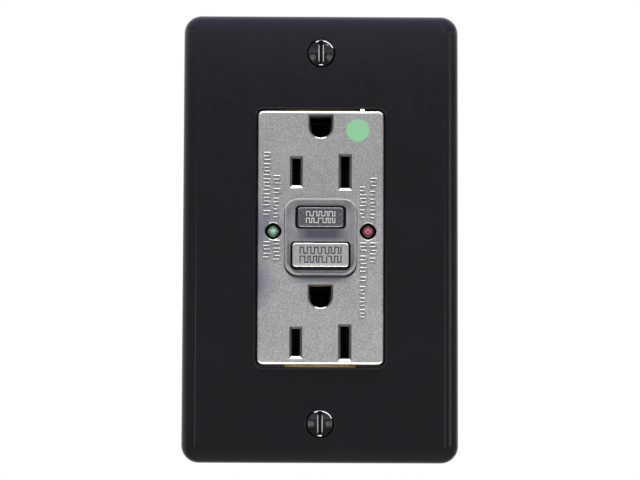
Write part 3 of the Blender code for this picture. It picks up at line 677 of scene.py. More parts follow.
def plated_metal(name, colour, roughness):
    """Polished plating with faint swirls and small pits."""
    f = Finish(name, colour, roughness, 1.0)
    swirl = f.noise(0.7, 5.0, (1, 1, 1), 1.5)
    f.vary_colour(f.noise(2.5, 3.0), 0.85, 1.08)
    f.vary_roughness(swirl, roughness * 0.6, roughness * 1.6)
    f.bump(swirl, 0.003)
    return f.material


def painted_glint_metal():
    """Pale brushed metal, painted on the upper rim and slot walls of a head as glints."""
    f = Finish("painted_glint_metal", (0.85, 0.85, 0.84), 0.35, 0.4)
    f.vary_colour(f.noise(0.25, 3.0), 0.7, 1.1)
    f.vary_roughness(f.noise(0.2, 3.0), 0.25, 0.5)
    f.bump(f.noise(0.15, 3.0), 0.01)
    return f.material


def moulding(name, colour, roughness, grain=0.01):
    """Plain moulded plastic with flow marks and a fine texture."""
    f = Finish(name, colour, roughness)
    f.vary_colour(f.noise(7.0, 4.0, (1, 1, 2.5)), 0.82, 1.2)
    f.vary_colour(f.noise(0.4, 2.0), 0.9, 1.12)
    f.vary_roughness(f.noise(1.2, 4.0), roughness * 0.8, roughness * 1.15)
    f.bump(f.noise(0.35, 2.0), grain)
    return f.material


def fibre_sheet():
    f = Finish("fibre_sheet", (0.42, 0.25, 0.13), 0.8)
    f.vary_colour(f.noise(0.5, 4.0, (6, 1, 1)), 0.7, 1.25)
    f.vary_colour(f.noise(0.4, 4.0, (1, 1, 6)), 0.8, 1.2)
    f.bump(f.noise(0.3, 3.0), 0.03)
    return f.material


def circuit_mask():
    """Green solder mask over copper tracks that show as paler, raised lines."""
    f = Finish("circuit_mask", (0.012, 0.12, 0.045), 0.28, Coat_Weight=0.4)
    tracks = f.node("ShaderNodeTexBrick", {"Scale": 260.0, "Mortar Size": 0.035})
    f.link(f.place, tracks.inputs["Vector"])
    f.tint(f.spread(tracks.outputs["Fac"], 0.0, 0.7, 0.2, 0.8), (0.05, 0.3, 0.12))
    f.vary_colour(f.noise(3.0, 3.0), 0.85, 1.15)
    f.bump(tracks.outputs["Fac"], 0.02)
    return f.material


def wound_copper():
    """Enamelled wire: fine turns across the winding's axis."""
    f = Finish("wound_copper", (0.2, 0.08, 0.045), 0.3, 1.0)
    wire_pitch = 0.22
    wave = f.calculate("SINE", f.product(f.axis("Z"), math.tau / (wire_pitch * MM)))
    f.bump(f.spread(wave, 0.0, 1.0, -1.0, 1.0), 0.05)
    f.vary_colour(f.noise(1.5, 3.0), 0.75, 1.1)
    return f.material


def printed_dot():
    f = Finish("printed_dot", (0.14, 0.31, 0.165), 0.5)
    f.vary_colour(f.noise(0.32, 2.0), 0.93, 1.07)
    f.bump(f.noise(0.28, 2.0), 0.012)
    return f.material


def resistor_bands():
    """Tan body with plain colour rings along X."""
    f = Finish("resistor_bands", (0.5, 0.34, 0.18), 0.4)
    centre = box_of("test_resistor")[0]
    for offset, colour in ((-1.6, (0.3, 0.05, 0.02)), (-0.5, (0.02, 0.02, 0.02)), (0.6, (0.4, 0.1, 0.01))):
        f.tint(f.spread(f.offset("X", centre.x + offset), 1.0, 0.0, 0.25 * MM, 0.32 * MM), colour)
    f.bump(f.noise(0.4, 2.0), 0.02)
    return f.material


def make_finishes():
    green, red = place_of("green_lamp"), place_of("red_lamp")
    return {
        "plate": plate_plastic(),
        "face": face_plastic(),
        # face_edge and test_edge: pale looks that paint highlights on edges; face_edge also colours the rib,
        # test_edge the TEST marks' tops.
        "face_edge": cap_plastic("face_edge_plastic", (0.72, 0.71, 0.69), 0.35, 0.01),
        "test_edge": cap_plastic("test_edge_plastic", (0.34, 0.34, 0.325), 0.3, 0.006),
        # slot_wall and cap_skirt: dark looks that paint shade in holes, gaps, grooves and under edges.
        "slot_wall": moulding("slot_wall", (0.05, 0.05, 0.055), 0.4, 0.004),
        "panel_floor": panel_plastic(),
        "cap_skirt": moulding("cap_skirt", (0.02, 0.02, 0.024), 0.5, 0.004),
        "test_cap": cap_plastic("test_cap_plastic", (0.056, 0.054, 0.065), 0.26, 0.006),
        "reset_cap": cap_plastic("reset_cap_plastic", (0.2, 0.198, 0.196), 0.36, 0.016),
        "lamp_green": lamp_plastic("lamp_green_lens", (0.1, 0.18, 0.13), (0.2, 0.4, 0.24), green),
        "lamp_red": lamp_plastic("lamp_red_lens", (0.17, 0.04, 0.052), (0.3, 0.035, 0.055), red),
        "strap_brass": strap_brass(),
        # The lens rims: pale looks that paint highlights on the lenses.
        "lamp_green_rim": cap_plastic("lamp_green_rim", (0.3, 0.43, 0.34), 0.2, 0.004),
        "lamp_red_rim": cap_plastic("lamp_red_rim", (0.45, 0.24, 0.25), 0.2, 0.004),
        "spring_brass": spring_brass(),
        "brass": rolled_metal("rolled_brass", (0.7, 0.5, 0.2), 0.4),
        "bright_screw": plated_metal("dark_chrome", (0.07, 0.07, 0.072), 0.1),
        # screw_shadow paints the shade in a head's slot, and screw_glint its glints.
        "screw_shadow": plated_metal("screw_shadow", (0.02, 0.02, 0.02), 0.4),
        "screw_glint": painted_glint_metal(),
        "zinc_steel": plated_metal("zinc_plate", (0.5, 0.51, 0.54), 0.3),
        "nickel": plated_metal("nickel_plate", (0.62, 0.6, 0.56), 0.22),
        "ground_green": plated_metal("green_dyed_zinc", (0.03, 0.3, 0.1), 0.3),
        "copper": rolled_metal("copper_strip", (0.68, 0.26, 0.12), 0.3, (1, 1, 1), 0.8),
        "coil": wound_copper(),
        "silver": plated_metal("contact_silver", (0.8, 0.8, 0.79), 0.25),
        "back_plastic": moulding("back_moulding", (0.022, 0.022, 0.025), 0.48),
        "inner_plastic": moulding("inner_moulding", (0.04, 0.04, 0.045), 0.5),
        "fibre": fibre_sheet(),
        "board": circuit_mask(),
        "core": moulding("core_coating", (0.07, 0.07, 0.08), 0.45, 0.03),
        "epoxy": moulding("epoxy_moulding", (0.016, 0.016, 0.018), 0.42, 0.014),
        "varistor_blue": moulding("varistor_dip", (0.02, 0.09, 0.32), 0.3, 0.02),
        "resistor_tan": resistor_bands(),
        "dot": printed_dot(),
    }


finishes = make_finishes()


def looks_of(*keys):
    return tuple(finishes[key] for key in keys)


# ----------------------------------------------------------------- wall plate


def plate_edge(front):
    """(inset, y) from the plate's rim, up its side and round its bevel, to its front."""
    reach = 1.5 * PLATE_BEVEL
    rise = -front - PLATE_RIM_DEPTH
    crease = math.acos(1 - PLATE_BEVEL / reach)
    steps = 22
    edge = [(0.25, 0.0), (0.07, -0.07), (0.0, -0.25), (0.0, -PLATE_RIM_DEPTH * 0.5)]
    for i in range(steps + 1):
        turn = crease * i / steps
        y = -PLATE_RIM_DEPTH - rise * math.sin(turn) / math.sin(crease)
        edge.append((reach * (1 - math.cos(turn)), y))
    flat_start = edge[-1][0]
    edge[-1] = (flat_start - 0.1, edge[-1][1] + 0.03)
    return edge + [(flat_start + 0.02, front + 0.006), (flat_start + 0.18, front)]


def make_plate():
    size = box_of("wall_plate")[1]
    front = low_of("wall_plate").y
    inner_front = front + PLATE_WALL
    outer = (size.x, size.z)

    def outline(inset):
        return rounded(grown(outer, -inset), max(PLATE_CORNER - inset, 0.9), segments=20)

    def opening(growth):
        return rounded(grown(OPENING, growth), OPENING_CORNER + growth, segments=10)

    skin = Skin()
    edge = plate_edge(front)
    rim = skin.ring(outline(edge[0][0]), edge[0][1])
    front_edge = skin.strips(outline, edge[1:], rim)
    hollow = [(1.8, 0.0), (2.0, -0.2), (2.0, -2.0), (2.15, -2.35)]
    hollow += [(4.1, inner_front + 0.2), (4.4, inner_front)]
    inner_edge = skin.strips(outline, hollow, rim)

    mouth_support = skin.ring(opening(OPENING_ROUND + 0.2), front)
    mouth = skin.strips(opening, [(OPENING_ROUND, front)], mouth_support)
    throat = skin.strips(opening, quarter_round(OPENING_ROUND, front, 8)[::-1][1:], mouth)
    collar = [
        (0.0, COLLAR_BACK - 0.15),
        (0.15, COLLAR_BACK),
        (COLLAR_WIDTH - 0.15, COLLAR_BACK),
        (COLLAR_WIDTH, COLLAR_BACK - 0.15),
        (COLLAR_WIDTH, inner_front + 0.2),
        (COLLAR_WIDTH + 0.2, inner_front),
    ]
    fronts, backs = [mouth_support], [skin.strips(opening, collar, throat)]
    screw_hole = [
        (COUNTERSINK_RADIUS + 0.13, front),
        (COUNTERSINK_RADIUS, front + 0.06),
        (SCREW_HOLE_RADIUS + 0.05, front + 1.98),
        (SCREW_HOLE_RADIUS, front + 2.1),
        (SCREW_HOLE_RADIUS, -1.75),
        (SCREW_HOLE_RADIUS + 0.15, -1.6),
        (BOSS_RADIUS - 0.15, -1.6),
        (BOSS_RADIUS, -1.75),
        (BOSS_RADIUS, inner_front + 0.25),
        (BOSS_RADIUS + 0.25, inner_front),
    ]
    for node in ("plate_screw_top", "plate_screw_bottom"):

        def ring_at(radius, place=place_of(node)):
            return circle(place, radius, 64)

        support = skin.ring(ring_at(COUNTERSINK_RADIUS + 0.3), front)
        backs.append(skin.strips(ring_at, screw_hole, support))
        fronts.append(support)
    skin.flat(front_edge, *fronts)
    skin.flat(inner_edge, *backs)
    mesh = skin.mesh("plate_shell")
    add_piece("plate_shell", mesh, finishes["plate"], replaces=["wall_plate"], sharp=32)


# ---------------------------------------------------------------- front cover


def stretched(size, centre, growth, radius, segments=3):
    """A rounded rectangle grown by its own amounts at the sides, top and bottom."""
    side, top, bottom = growth
    full = (size[0] + 2 * side, size[1] + top + bottom)
    middle = (centre[0], centre[1] + (top - bottom) / 2)
    return rounded(full, radius, middle, segments)


def ground_outline(middle_z, growth):
    """A hole with a flat top and a half-round bottom."""
    side, top_growth, bottom = growth
    half = GROUND_HOLE_RADIUS + side
    top = middle_z + GROUND_HOLE_RADIUS + 0.05 + top_growth
    drop = GROUND_HOLE_RADIUS + bottom
    corner = 0.25
    points = arc((half - corner, top - corner), corner, 0, 90, 4)
    points += arc((-half + corner, top - corner), corner, 90, 180, 4)
    turns = [math.pi + math.pi * i / 32 for i in range(33)]
    return points + [(half * math.cos(t), middle_z + drop * math.sin(t)) for t in turns]


def bar(centre, size):
    """A small rectangle, as an outline."""
    (x, z), (w, h) = centre, (size[0] / 2, size[1] / 2)
    return [(x + w, z + h), (x - w, z + h), (x - w, z - h), (x + w, z - h)]


def stroked(path, half):
    """The outline of a line of short straight strokes, with square ends."""
    points = [Vector(p) for p in path]
    points[0] = points[0] - (points[1] - points[0]).normalized() * half
    points[-1] = points[-1] + (points[-1] - points[-2]).normalized() * half
    steps = [(b - a).normalized() for a, b in zip(points, points[1:])]
    normals = [Vector((-d.y, d.x)) for d in steps]
    sides = [normals[0]]
    for a, b in zip(normals, normals[1:]):
        sides.append((a + b) / (1 + a.dot(b)))
    sides.append(normals[-1])
    left = [tuple(p + n * half) for p, n in zip(points, sides)]
    right = [tuple(p - n * half) for p, n in zip(points, sides)]
    return left + right[::-1]


def mark(path, half, slope):
    """The base and top outlines of a mark along a path."""
    return stroked(path, half), stroked(path, half - slope)


def meander(along, across, start, pitch, count):
    """A square wave of strokes: (along, across) are unit directions, start its first corner."""
    start, along, across = Vector(start), Vector(along) * pitch, Vector(across)
    path = [start]
    for i in range(count):
        path.append(path[-1] + (-across if i % 2 else across))
        if i < count - 1:
            path.append(path[-1] + along)
    return [tuple(p) for p in path]


def column_marks(x, start_z, end_z, rng):
    """A column of short raised meanders, in place of a line of lettering."""
    marks = []
    z = start_z
    while z > end_z + MARK_PITCH:
        count = min(rng.randrange(2, 5), int((z - end_z) / MARK_PITCH) + 1)
        reach = MARK_WIDTH * rng.choice((1.0, 1.0, 0.7))
        path = meander((0, -1), (reach, 0), (x - MARK_WIDTH / 2, z), MARK_PITCH, count)
        if count == 1:
            path = path[:2]
        marks.append(mark(path, MARK_STROKE / 2, MARK_SLOPE))
        z -= MARK_PITCH * (count - 1) + MARK_PITCH * rng.choice((1.15, 1.15, 1.6))
    return marks


def row_marks(middle, width, height, strokes, spacing, half):
    """Two rows of uneven square waves, in place of lettering."""
    marks = []
    rng = random.Random(strokes)
    for z in (spacing, -spacing):
        gaps = [rng.choice((0.7, 1.0, 1.0, 1.45)) for _ in range(strokes - 1)]
        scale = width / sum(gaps)
        x, low, high = middle[0] - width / 2, middle[1] + z - height / 2, middle[1] + z + height / 2
        path = [(x, low), (x, high)]
        for i, gap in enumerate(gaps):
            x += gap * scale
            ends = (high, low) if i % 2 == 0 else (low, high)
            path += [(x, end) for end in ends]
        marks.append(mark(path, half, 0.03))
    return marks


def make_cover():
    size = box_of("front_cover")[1]
    front, split = low_of("front_cover").y, high_of("front_cover").y
    skin = Skin()

    def face(inset):
        return rounded(grown(FACE, -inset), max(FACE_CORNER - inset, 0.45), segments=10)

    def body(growth):
        side, rise = growth
        return rounded((size.x + 2 * side, SHOULDER_HEIGHT + 2 * rise), SHOULDER_CORNER, segments=10)

    root = skin.ring(face(-0.1), SHOULDER_FRONT)
    side = skin.strips(face, [(0.0, SHOULDER_FRONT - 0.15), (0.0, front + FACE_ROUND)], root)
    face_edge = skin.strips(face, quarter_round(FACE_ROUND, front, 10)[1:], side, ROUNDING)
    # The shoulder and flange, seen in the gap to the plate, take the dark slot as painted shade.
    outer = skin.ring(body((-0.25, FLANGE_RISE - 0.25)), SHOULDER_FRONT)
    skin.flat(outer, root, finish=DARK)
    flange_edge = [
        ((-0.07, FLANGE_RISE - 0.07), SHOULDER_FRONT + 0.07),
        ((0.0, FLANGE_RISE), SHOULDER_FRONT + 0.25),
        ((0.0, FLANGE_RISE), FLANGE_BACK - 0.15),
        ((0.0, FLANGE_RISE - 0.15), FLANGE_BACK),
    ]
    flange = skin.strips(body, flange_edge, outer, DARK)
    sides = [((0.0, 0.0), FLANGE_BACK + 0.01), ((0.0, 0.0), split - 0.15), ((-0.15, -0.15), split)]
    back = skin.strips(body, sides, flange)
    inside, face_inside = (rounded(area, 1.0, segments=10) for area in (INSIDE, FACE_INSIDE))
    lip = skin.ring(inside, split)
    skin.flat(back, lip, finish=DARK)
    ledge = skin.ring(inside, LEDGE)
    skin.strip(lip, ledge, DARK)
    step = skin.ring(face_inside, LEDGE)
    skin.flat(ledge, step, finish=DARK)
    inner = skin.ring(face_inside, FACE_BACK)
    skin.strip(step, inner, DARK)

    fronts, backs = [], []

    def hole(outline_at, profile, none=(0.0, 0.0, 0.0), mouth_finish=DARK, rim_finish=None):
        """A hole from the face's front to its back. Returns the ring of its mouth."""
        mouth = skin.ring(outline_at(profile[0][0]), profile[0][1])
        rim = skin.strips(outline_at, profile[1:2], mouth, rim_finish or mouth_finish)
        throat = skin.strips(outline_at, profile[2:], rim, mouth_finish)
        backs.append(skin.strips(outline_at, [(none, FACE_BACK)], throat, DARK))
        return mouth

    def chamfer(growth):
        """A straight chamfer with its own growth at the sides, top and bottom."""
        edge = tuple(g + 0.05 for g in growth)
        near = tuple(g - 0.03 for g in growth)
        far, none = (0.04,) * 3, (0.0,) * 3
        end = front + SLOT_DEPTH
        return [(edge, front), (near, front + 0.05), (far, end - 0.03), (none, end + 0.05)]

    for blades_z in BLADES_Z:
        blades = ((HOT_SLOT, HOT_GROWTH, -BLADE_X), (NEUTRAL_SLOT, NEUTRAL_GROWTH, BLADE_X))
        for slot_size, growth, x in blades:

            def slot_at(g, area=slot_size, place=(x, blades_z)):
                return stretched(area, place, g, 0.12 + g[0] * 0.2)

            fronts.append(hole(slot_at, chamfer(growth), mouth_finish=MOUTH))

        def ground_at(g, z=blades_z + GROUND_OFFSET):
            return ground_outline(z, g)

        fronts.append(hole(ground_at, chamfer(GROUND_GROWTH), mouth_finish=ROUND_MOUTH))
    for node in ("green_lamp", "red_lamp"):

        def lamp_at(g, place=place_of(node)):
            return cushion(place, LAMP_HOLE_RADIUS + g, 0.07)

        rim = [(0.2, front), (0.06, front + 0.07), (0.0, front + 0.25)]
        fronts.append(hole(lamp_at, rim, 0.0, rim_finish=ROUNDING))

    def panel(growth):
        return stretched(PANEL, (0.0, 0.0), growth, PANEL_CORNER + growth[0], 16)

    crest = front - PANEL_RIM
    floor = front + PANEL_DEPTH
    # The groove round the panel, widest at its bottom, takes the dark slot: a painted shadow under the
    # panel's rim.
    groove = skin.ring(panel((0.12, -0.1, 0.52)), front)
    fronts.append(groove)
    trench = [((0.11, -0.11, 0.48), front + 0.7), ((0.1, -0.12, -0.14), front + 0.7)]
    bottom = skin.strips(panel, trench, groove, DARK)
    flank = [((0.06, -0.16, -0.19), front - 0.02), ((0.0, -0.22, -0.24), crest + 0.1)]
    flank_edge = skin.strips(panel, flank, bottom, MOUTH)
    rim = [
        ((-0.08, -0.3, -0.32), crest + 0.01),
        ((-0.22, -0.44, -0.46), crest),
        ((-0.32, -0.54, -0.56), crest + 0.07),
    ]
    crest_edge = skin.strips(panel, rim, flank_edge)
    slope = [
        ((-0.95, -1.25, -1.1), floor - 0.12),
        ((-1.05, -1.35, -1.2), floor - 0.03),
        ((-1.15, -1.45, -1.3), floor),
    ]
    floor_edge = skin.strips(panel, slope, crest_edge, FLOOR)
    windows = []
    for node, area, drop in (("test_button", TEST_WINDOW, 0.0), ("reset_button", RESET_WINDOW, RESET_DROP)):

        def window_at(g, area=area, z=box_of(node)[0].z - drop):
            return rounded(grown(area, g), WINDOW_CORNER + g, (0.0, z), 10)

        windows.append(hole(window_at, [(0.14, floor), (0.04, floor + 0.04), (0.0, floor + 0.16)], 0.0))
    skin.flat(floor_edge, *windows, finish=FLOOR)

    rng = random.Random(7)
    for x, start, end in MARK_COLUMNS:
        fronts += [skin.relief(outlines, front, MARK_HEIGHT) for outlines in column_marks(x, start, end, rng)]
    skin.flat(face_edge, *fronts)
    skin.flat(inner, *backs, finish=DARK)
    # Slots: the face, dark walls as painted shade, pale edges as painted highlights, and the panel floor.
    looks = looks_of("face", "slot_wall", "face_edge", "panel_floor")
    notches = [box_mesh("notch", (-NOTCH, -1.6, low), (NOTCH, split + 1, low + 4.5)) for low in (30.0, -34.5)]
    notches += [box_mesh("notch", (-NOTCH, -3.4, low), (NOTCH, 0.0, low + 1.5)) for low in (33.12, -34.62)]
    # The faces cut by the notches take the dark slot as painted shade.
    tools = [give_looks(notch, looks, DARK) for notch in notches]
    cover = combined(give_looks(skin.mesh("cover_shell"), looks), tools)
    add_piece("cover_shell", cover, looks, replaces=["front_cover"], sharp=38)


def make_rib():
    """A small rib on the top of the face, in the gap to the plate."""
    front = low_of("front_cover").y
    skin = Skin()
    top = FACE[1] / 2
    back = SHOULDER_FRONT + 0.1
    low, high = top - 0.25, top + RIB_RISE
    section = [(front + 0.12, low), (front + 0.95, high), (back, high), (back, low)]
    ends = [skin.points([(x, y, z) for y, z in section]) for x in RIB_ENDS]
    skin.strip(*ends)
    for end in ends:
        skin.flat(end)
    piece = add_piece("gap_rib", skin.mesh("gap_rib"), finishes["face_edge"], soften=False)
    bevel_edges(piece, 0.1)
    weigh_normals(piece)


def make_dot():
    """A thin printed dot with a slightly uneven edge."""
    front = low_of("front_cover").y
    skin = Skin()
    rng = random.Random(3)
    reach = [DOT_RADIUS + rng.uniform(-DOT_UNEVENNESS, DOT_UNEVENNESS) for _ in range(DOT_POINTS)]
    turns = [math.tau * i / DOT_POINTS for i in range(DOT_POINTS)]

    def edge(shrink):
        return [
            (DOT_PLACE[0] + r * shrink * math.cos(t), DOT_PLACE[1] + r * shrink * math.sin(t))
            for r, t in zip(reach, turns)
        ]

    base = skin.ring(edge(1.0), front + 0.01)
    skin.flat(base)
    top = skin.strips(edge, [(1.0, front - 0.012), (0.985, front - 0.03)], base)
    skin.flat(top)
    add_piece("inspection_dot", skin.mesh("inspection_dot"), finishes["dot"])


# -------------------------------------------------------------------- buttons


def make_button(node, row, height, dish, trim=0.0):
    """A key cap with round edges, a shallow dish and plain marks, on a skirt painted dark as the shade in the
    gap round the cap.
    """
    centre, size = box_of(node)
    cap = (size.x - 2 * FLANGE_GROWTH, size.z - 2 * FLANGE_GROWTH - trim)
    middle = (centre.x, centre.z + trim / 2)
    front = low_of(node).y
    # The skirt and flange take the dark slot: painted shade in the gap round the cap.
    skin = Skin(DARK)

    def outline(inset):
        return rounded(grown(cap, -inset), max(BUTTON_CORNER - inset, 0.2), middle, 10)

    flange = rounded((size.x, size.z), 0.8, (centre.x, centre.z), 10)
    bottom = skin.ring(flange, BUTTON_BACK)
    skin.flat(bottom)
    top = skin.ring(flange, BUTTON_FLANGE_FRONT)
    skin.strip(bottom, top)
    side = skin.ring(outline(0.0), BUTTON_FLANGE_FRONT)
    skin.strip(top, side)
    skirt = skin.strips(outline, [(0.0, front + 0.4)], side)
    lip = skin.strips(outline, [*quarter_round(BUTTON_ROUND, front, 8), (0.42, front)], skirt, ROUNDING)
    slope = [(0.48, front + 0.02), (0.62, front + dish - 0.02), (0.7, front + dish)]
    dish_edge = skin.strips(outline, slope, lip, MAIN)
    look = EDGE if height > 0 else FLOOR
    marks = [skin.relief(outlines, front + dish, height, look) for outlines in row_marks(middle, *row)]
    skin.flat(dish_edge, *marks, finish=MAIN)
    return skin.mesh(node + "_cap")


def make_buttons():
    """The TEST cap with raised marks and its stem, and the RESET cap with sunk marks."""
    # TEST: dark skirt and stem as painted shade; test_edge paints highlights on edges and colours the raised
    # marks' tops.
    looks = looks_of("test_cap", "cap_skirt", "test_edge", "cap_skirt")
    cap = make_button("test_button", (7.4, 1.15, 11, 0.88, 0.15), 0.16, 0.12)
    z, back = box_of("test_button")[0].z, high_of("test_button").y
    stem = box_mesh("stem", (-1.5, -4.0, z - 1.5), (1.5, 1.4, z + 1.5))
    tip = box_mesh("tip", (-1.0, 1.2, z - 0.5), (1.0, back, z + 0.5))
    parts = [give_looks(part, looks, DARK) for part in (stem, tip)]
    cap = combined(give_looks(cap, looks), parts, "UNION")
    add_piece("test_cap", cap, looks, "test_button", ["test_button"], 40)
    # RESET: face_edge paints highlights on the rounded edges; slot_wall colours the bottoms of the sunk
    # marks.
    looks = looks_of("reset_cap", "cap_skirt", "face_edge", "slot_wall")
    cap = make_button("reset_button", (10.6, 1.6, 13, 1.16, 0.17), -0.16, 0.1, 0.2)
    add_piece("reset_cap", cap, looks, "reset_button", ["reset_button"], 40)


def make_lamps():
    """Lenses faceted towards the middle, with two rings of facets painted pale as highlights and their sides
    painted dark as the shade in the hole, each on a flanged base with two leads.
    """
    for colour in ("green", "red"):
        node = f"{colour}_lamp"
        top, back = low_of(node).y, high_of(node).y
        x, z = place_of(node)

        def round_at(radius, place=(x, z)):
            return circle(place, radius, 32)

        def lens_at(radius, place=(x, z)):
            return cushion(place, radius, 0.05 * radius, 32)

        skin = Skin()
        foot = skin.ring(round_at(1.75), -1.4)
        skin.flat(foot)
        ring = skin.strips(round_at, [(1.9, -1.55), (1.9, -2.25), (1.8, -2.4)], foot)
        # The side takes the dark slot as painted shade in the hole, and two rings of facets the pale rim as
        # painted highlights.
        for finish, profile in (
            (DARK, [(1.42, -2.4), (1.42, top + 0.75)]),
            (EDGE, [(1.3, top + 0.55)]),
            (MAIN, [(0.72, top + 0.22)]),
            (EDGE, [(0.62, top + 0.18)]),
            (MAIN, [(0.2, top + 0.02)]),
        ):
            ring = skin.strips(lens_at, profile, ring, finish)
        skin.flat(ring)
        looks = looks_of(f"lamp_{colour}", "cap_skirt", f"lamp_{colour}_rim")
        lens, lamp_slot = skin.mesh(node), f"lamp_{colour}"
        add_piece(f"{colour}_lens", lens, looks, DEVICE, [node], 30, soften=False)
        leads = []
        for lead_z in (z - 1.0, z + 1.0):
            low, high = (x - 0.25, -1.8, lead_z - 0.25), (x + 0.25, back, lead_z + 0.25)
            leads.append(box_mesh("lead", low, high))
        name, steel = f"{colour}_lamp_leads", finishes["zinc_steel"]
        pins = add_piece(name, joined("leads", *leads), steel, DEVICE, soften=False)
        bevel_edges(pins, 0.06)


# --------------------------------------------------------------------- screws


def make_screw(node, head, slot, centre, axis, thread, material, segments=64):
    """A turned head with a driver slot, and a threaded shank."""
    looks = material if isinstance(material, tuple) else (material,)
    blank = give_looks(turned_mesh(node, head, centre, axis, segments), looks)
    if len(looks) > 1:
        light_upper_rim(blank, centre, head[8][0])
    blank = combined(blank, [give_looks(slot, looks)])
    shank = give_looks(threaded_mesh(node, centre, axis, *thread), (), len(looks) - 1)
    mesh = give_looks(joined(node, blank, shank), looks)
    piece = add_piece(node + "_piece", mesh, material, node, [node], 42, soften=False)
    bevel_edges(piece, 0.05, 2, 38)
    weigh_normals(piece)


def oval_head(rim, radius, front, neck):
    """(radius, y) over a shallow dome with a round rim to the underside of a countersunk head."""
    profile = []
    for i in range(9):
        part = 0.03 + 0.97 * i / 8
        profile.append((3.08 * part, front + 0.33 * part * part))
    turns = [math.radians(14 + 76 * i / 6) for i in range(1, 7)]
    for turn in turns:
        profile.append((3.08 + 0.37 * (math.sin(turn) - 0.24) / 0.76, rim - 0.52 * math.cos(turn) / 0.97))
    profile.append((radius, rim + 0.06))
    profile.append((THREAD_RADIUS, neck))
    return profile


def light_upper_rim(blank, centre, inside):
    """Puts the painted glint on the upper part of a head's rim, outside a radius."""
    for face in blank.polygons:
        x, z = face.center.x - centre[0], face.center.z - centre[1]
        if math.hypot(x, z) > inside + 0.13 and z > 0.8 * inside - 0.35 * x and face.normal.y < -0.15:
            face.material_index = EDGE


def slot_cutter(centre, reach, width, front, depth):
    """A slot right across a head, with painted glints on its walls in its middle part and on a ramp at its
    lower end.
    """
    places = (reach, 0.66 * reach, -0.66 * reach, -reach)
    skin = Skin(DARK)
    rings = []
    for y, taper in ((front - 1.5, 0.0), (front, 0.0), (front + depth, 1.0)):
        half = width[0] / 2 * (1 - taper) + width[1] / 2 * taper
        low_end = places[-1] + 0.55 * taper
        side = [*places[:-1], low_end]
        outline = [(centre[0] + half, centre[1] + z) for z in side]
        outline += [(centre[0] - half, centre[1] + z) for z in side[::-1]]
        rings.append(skin.ring(outline, y))
    for first, second in zip(rings, rings[1:]):
        skin.strip(first, second)
    skin.flat(rings[0])
    skin.flat(rings[2])
    mesh = skin.mesh("slot")
    for face in mesh.polygons:
        z = face.center.z - centre[1]
        if abs(face.normal.y) < 0.9 and (abs(z) < 0.3 * reach or z < -0.9 * reach):
            face.material_index = EDGE
    return mesh


def make_plate_screw(node):
    """An oval head, countersunk into the plate."""
    rim, radius = -5.7, 3.45
    neck = rim + (radius - THREAD_RADIUS) / math.tan(math.radians(41))
    front, place = low_of(node).y, place_of(node)
    head = [*oval_head(rim, radius, front, neck), (THREAD_RADIUS, neck + 0.6)]
    slot = slot_cutter(place, 3.36, (1.38, 0.86), front, 1.1)
    # Dark chrome, a painted shadow in the slot, painted glints on the rim and slot walls, and zinc on the
    # shank.
    looks = looks_of("bright_screw", "screw_shadow", "screw_glint", "zinc_steel")
    make_screw(node, head, slot, place, "Y", (neck + 0.3, high_of(node).y), looks, 72)


def make_mounting_screw(node):
    """A round head on the strap, hidden by the plate."""
    front, (x, z) = low_of(node).y, place_of(node)
    head = [(0.2, front), (1.2, front + 0.02), (2.0, front + 0.12), (2.6, front + 0.3)]
    head += [(3.05, front + 0.6), (3.28, front + 1.0), (3.3, front + 1.3), (3.3, -1.6)]
    head += [(3.2, -1.5), (THREAD_RADIUS, -1.5), (THREAD_RADIUS, -0.9)]
    slot = box_mesh("slot", (-4.0, -4.0, z - 0.5), (4.0, -2.5, z + 0.5))
    thread = (-1.2, high_of(node).y)
    make_screw(node, head, slot, (x, z), "Y", thread, finishes["zinc_steel"])


def make_ground_screw():
    node, metal = "ground_screw", "ground_green"
    x, y, z = low_of(node).x, *box_of(node)[0].yz
    head = [(0.3, x), (2.5, x), (2.9, x + 0.08), (3.35, x + 0.3), (3.5, x + 0.55), (3.5, -9.7)]
    head += [(3.4, -9.6), (THREAD_RADIUS, -9.6), (THREAD_RADIUS, -9.0)]
    slot = box_mesh("slot", (-13.0, y - 0.5, z - 5.0), (-11.0, y + 0.5, z + 5.0))
    thread = (-9.3, high_of(node).x)
    make_screw(node, head, slot, (y, z), "X", thread, finishes[metal])


def make_terminal_screws():
    """Four side screws: brass on the hot side, nickel on the neutral side."""
    profile = [(0.3, 21.2), (2.3, 21.2), (2.9, 21.12), (3.4, 20.95), (3.7, 20.65), (3.8, 20.3)]
    profile += [(3.8, 19.1), (3.7, 19.0), (THREAD_RADIUS, 19.0), (THREAD_RADIUS, 18.4)]
    for pole, side, metal in (("hot", -1, "brass"), ("neutral", 1, "nickel")):
        head = [(radius, side * x) for radius, x in profile]
        inner, outer = sorted((side * 20.2, side * 22.0))
        for node in (f"{pole}_line_screw", f"{pole}_load_screw"):
            y, z = box_of(node)[0].yz
            slot = box_mesh("slot", (inner, y - 5.0, z - 0.5), (outer, y + 5.0, z + 0.5))
            make_screw(node, head, slot, (y, z), "X", (side * 18.7, side * 12.1), finishes[metal])


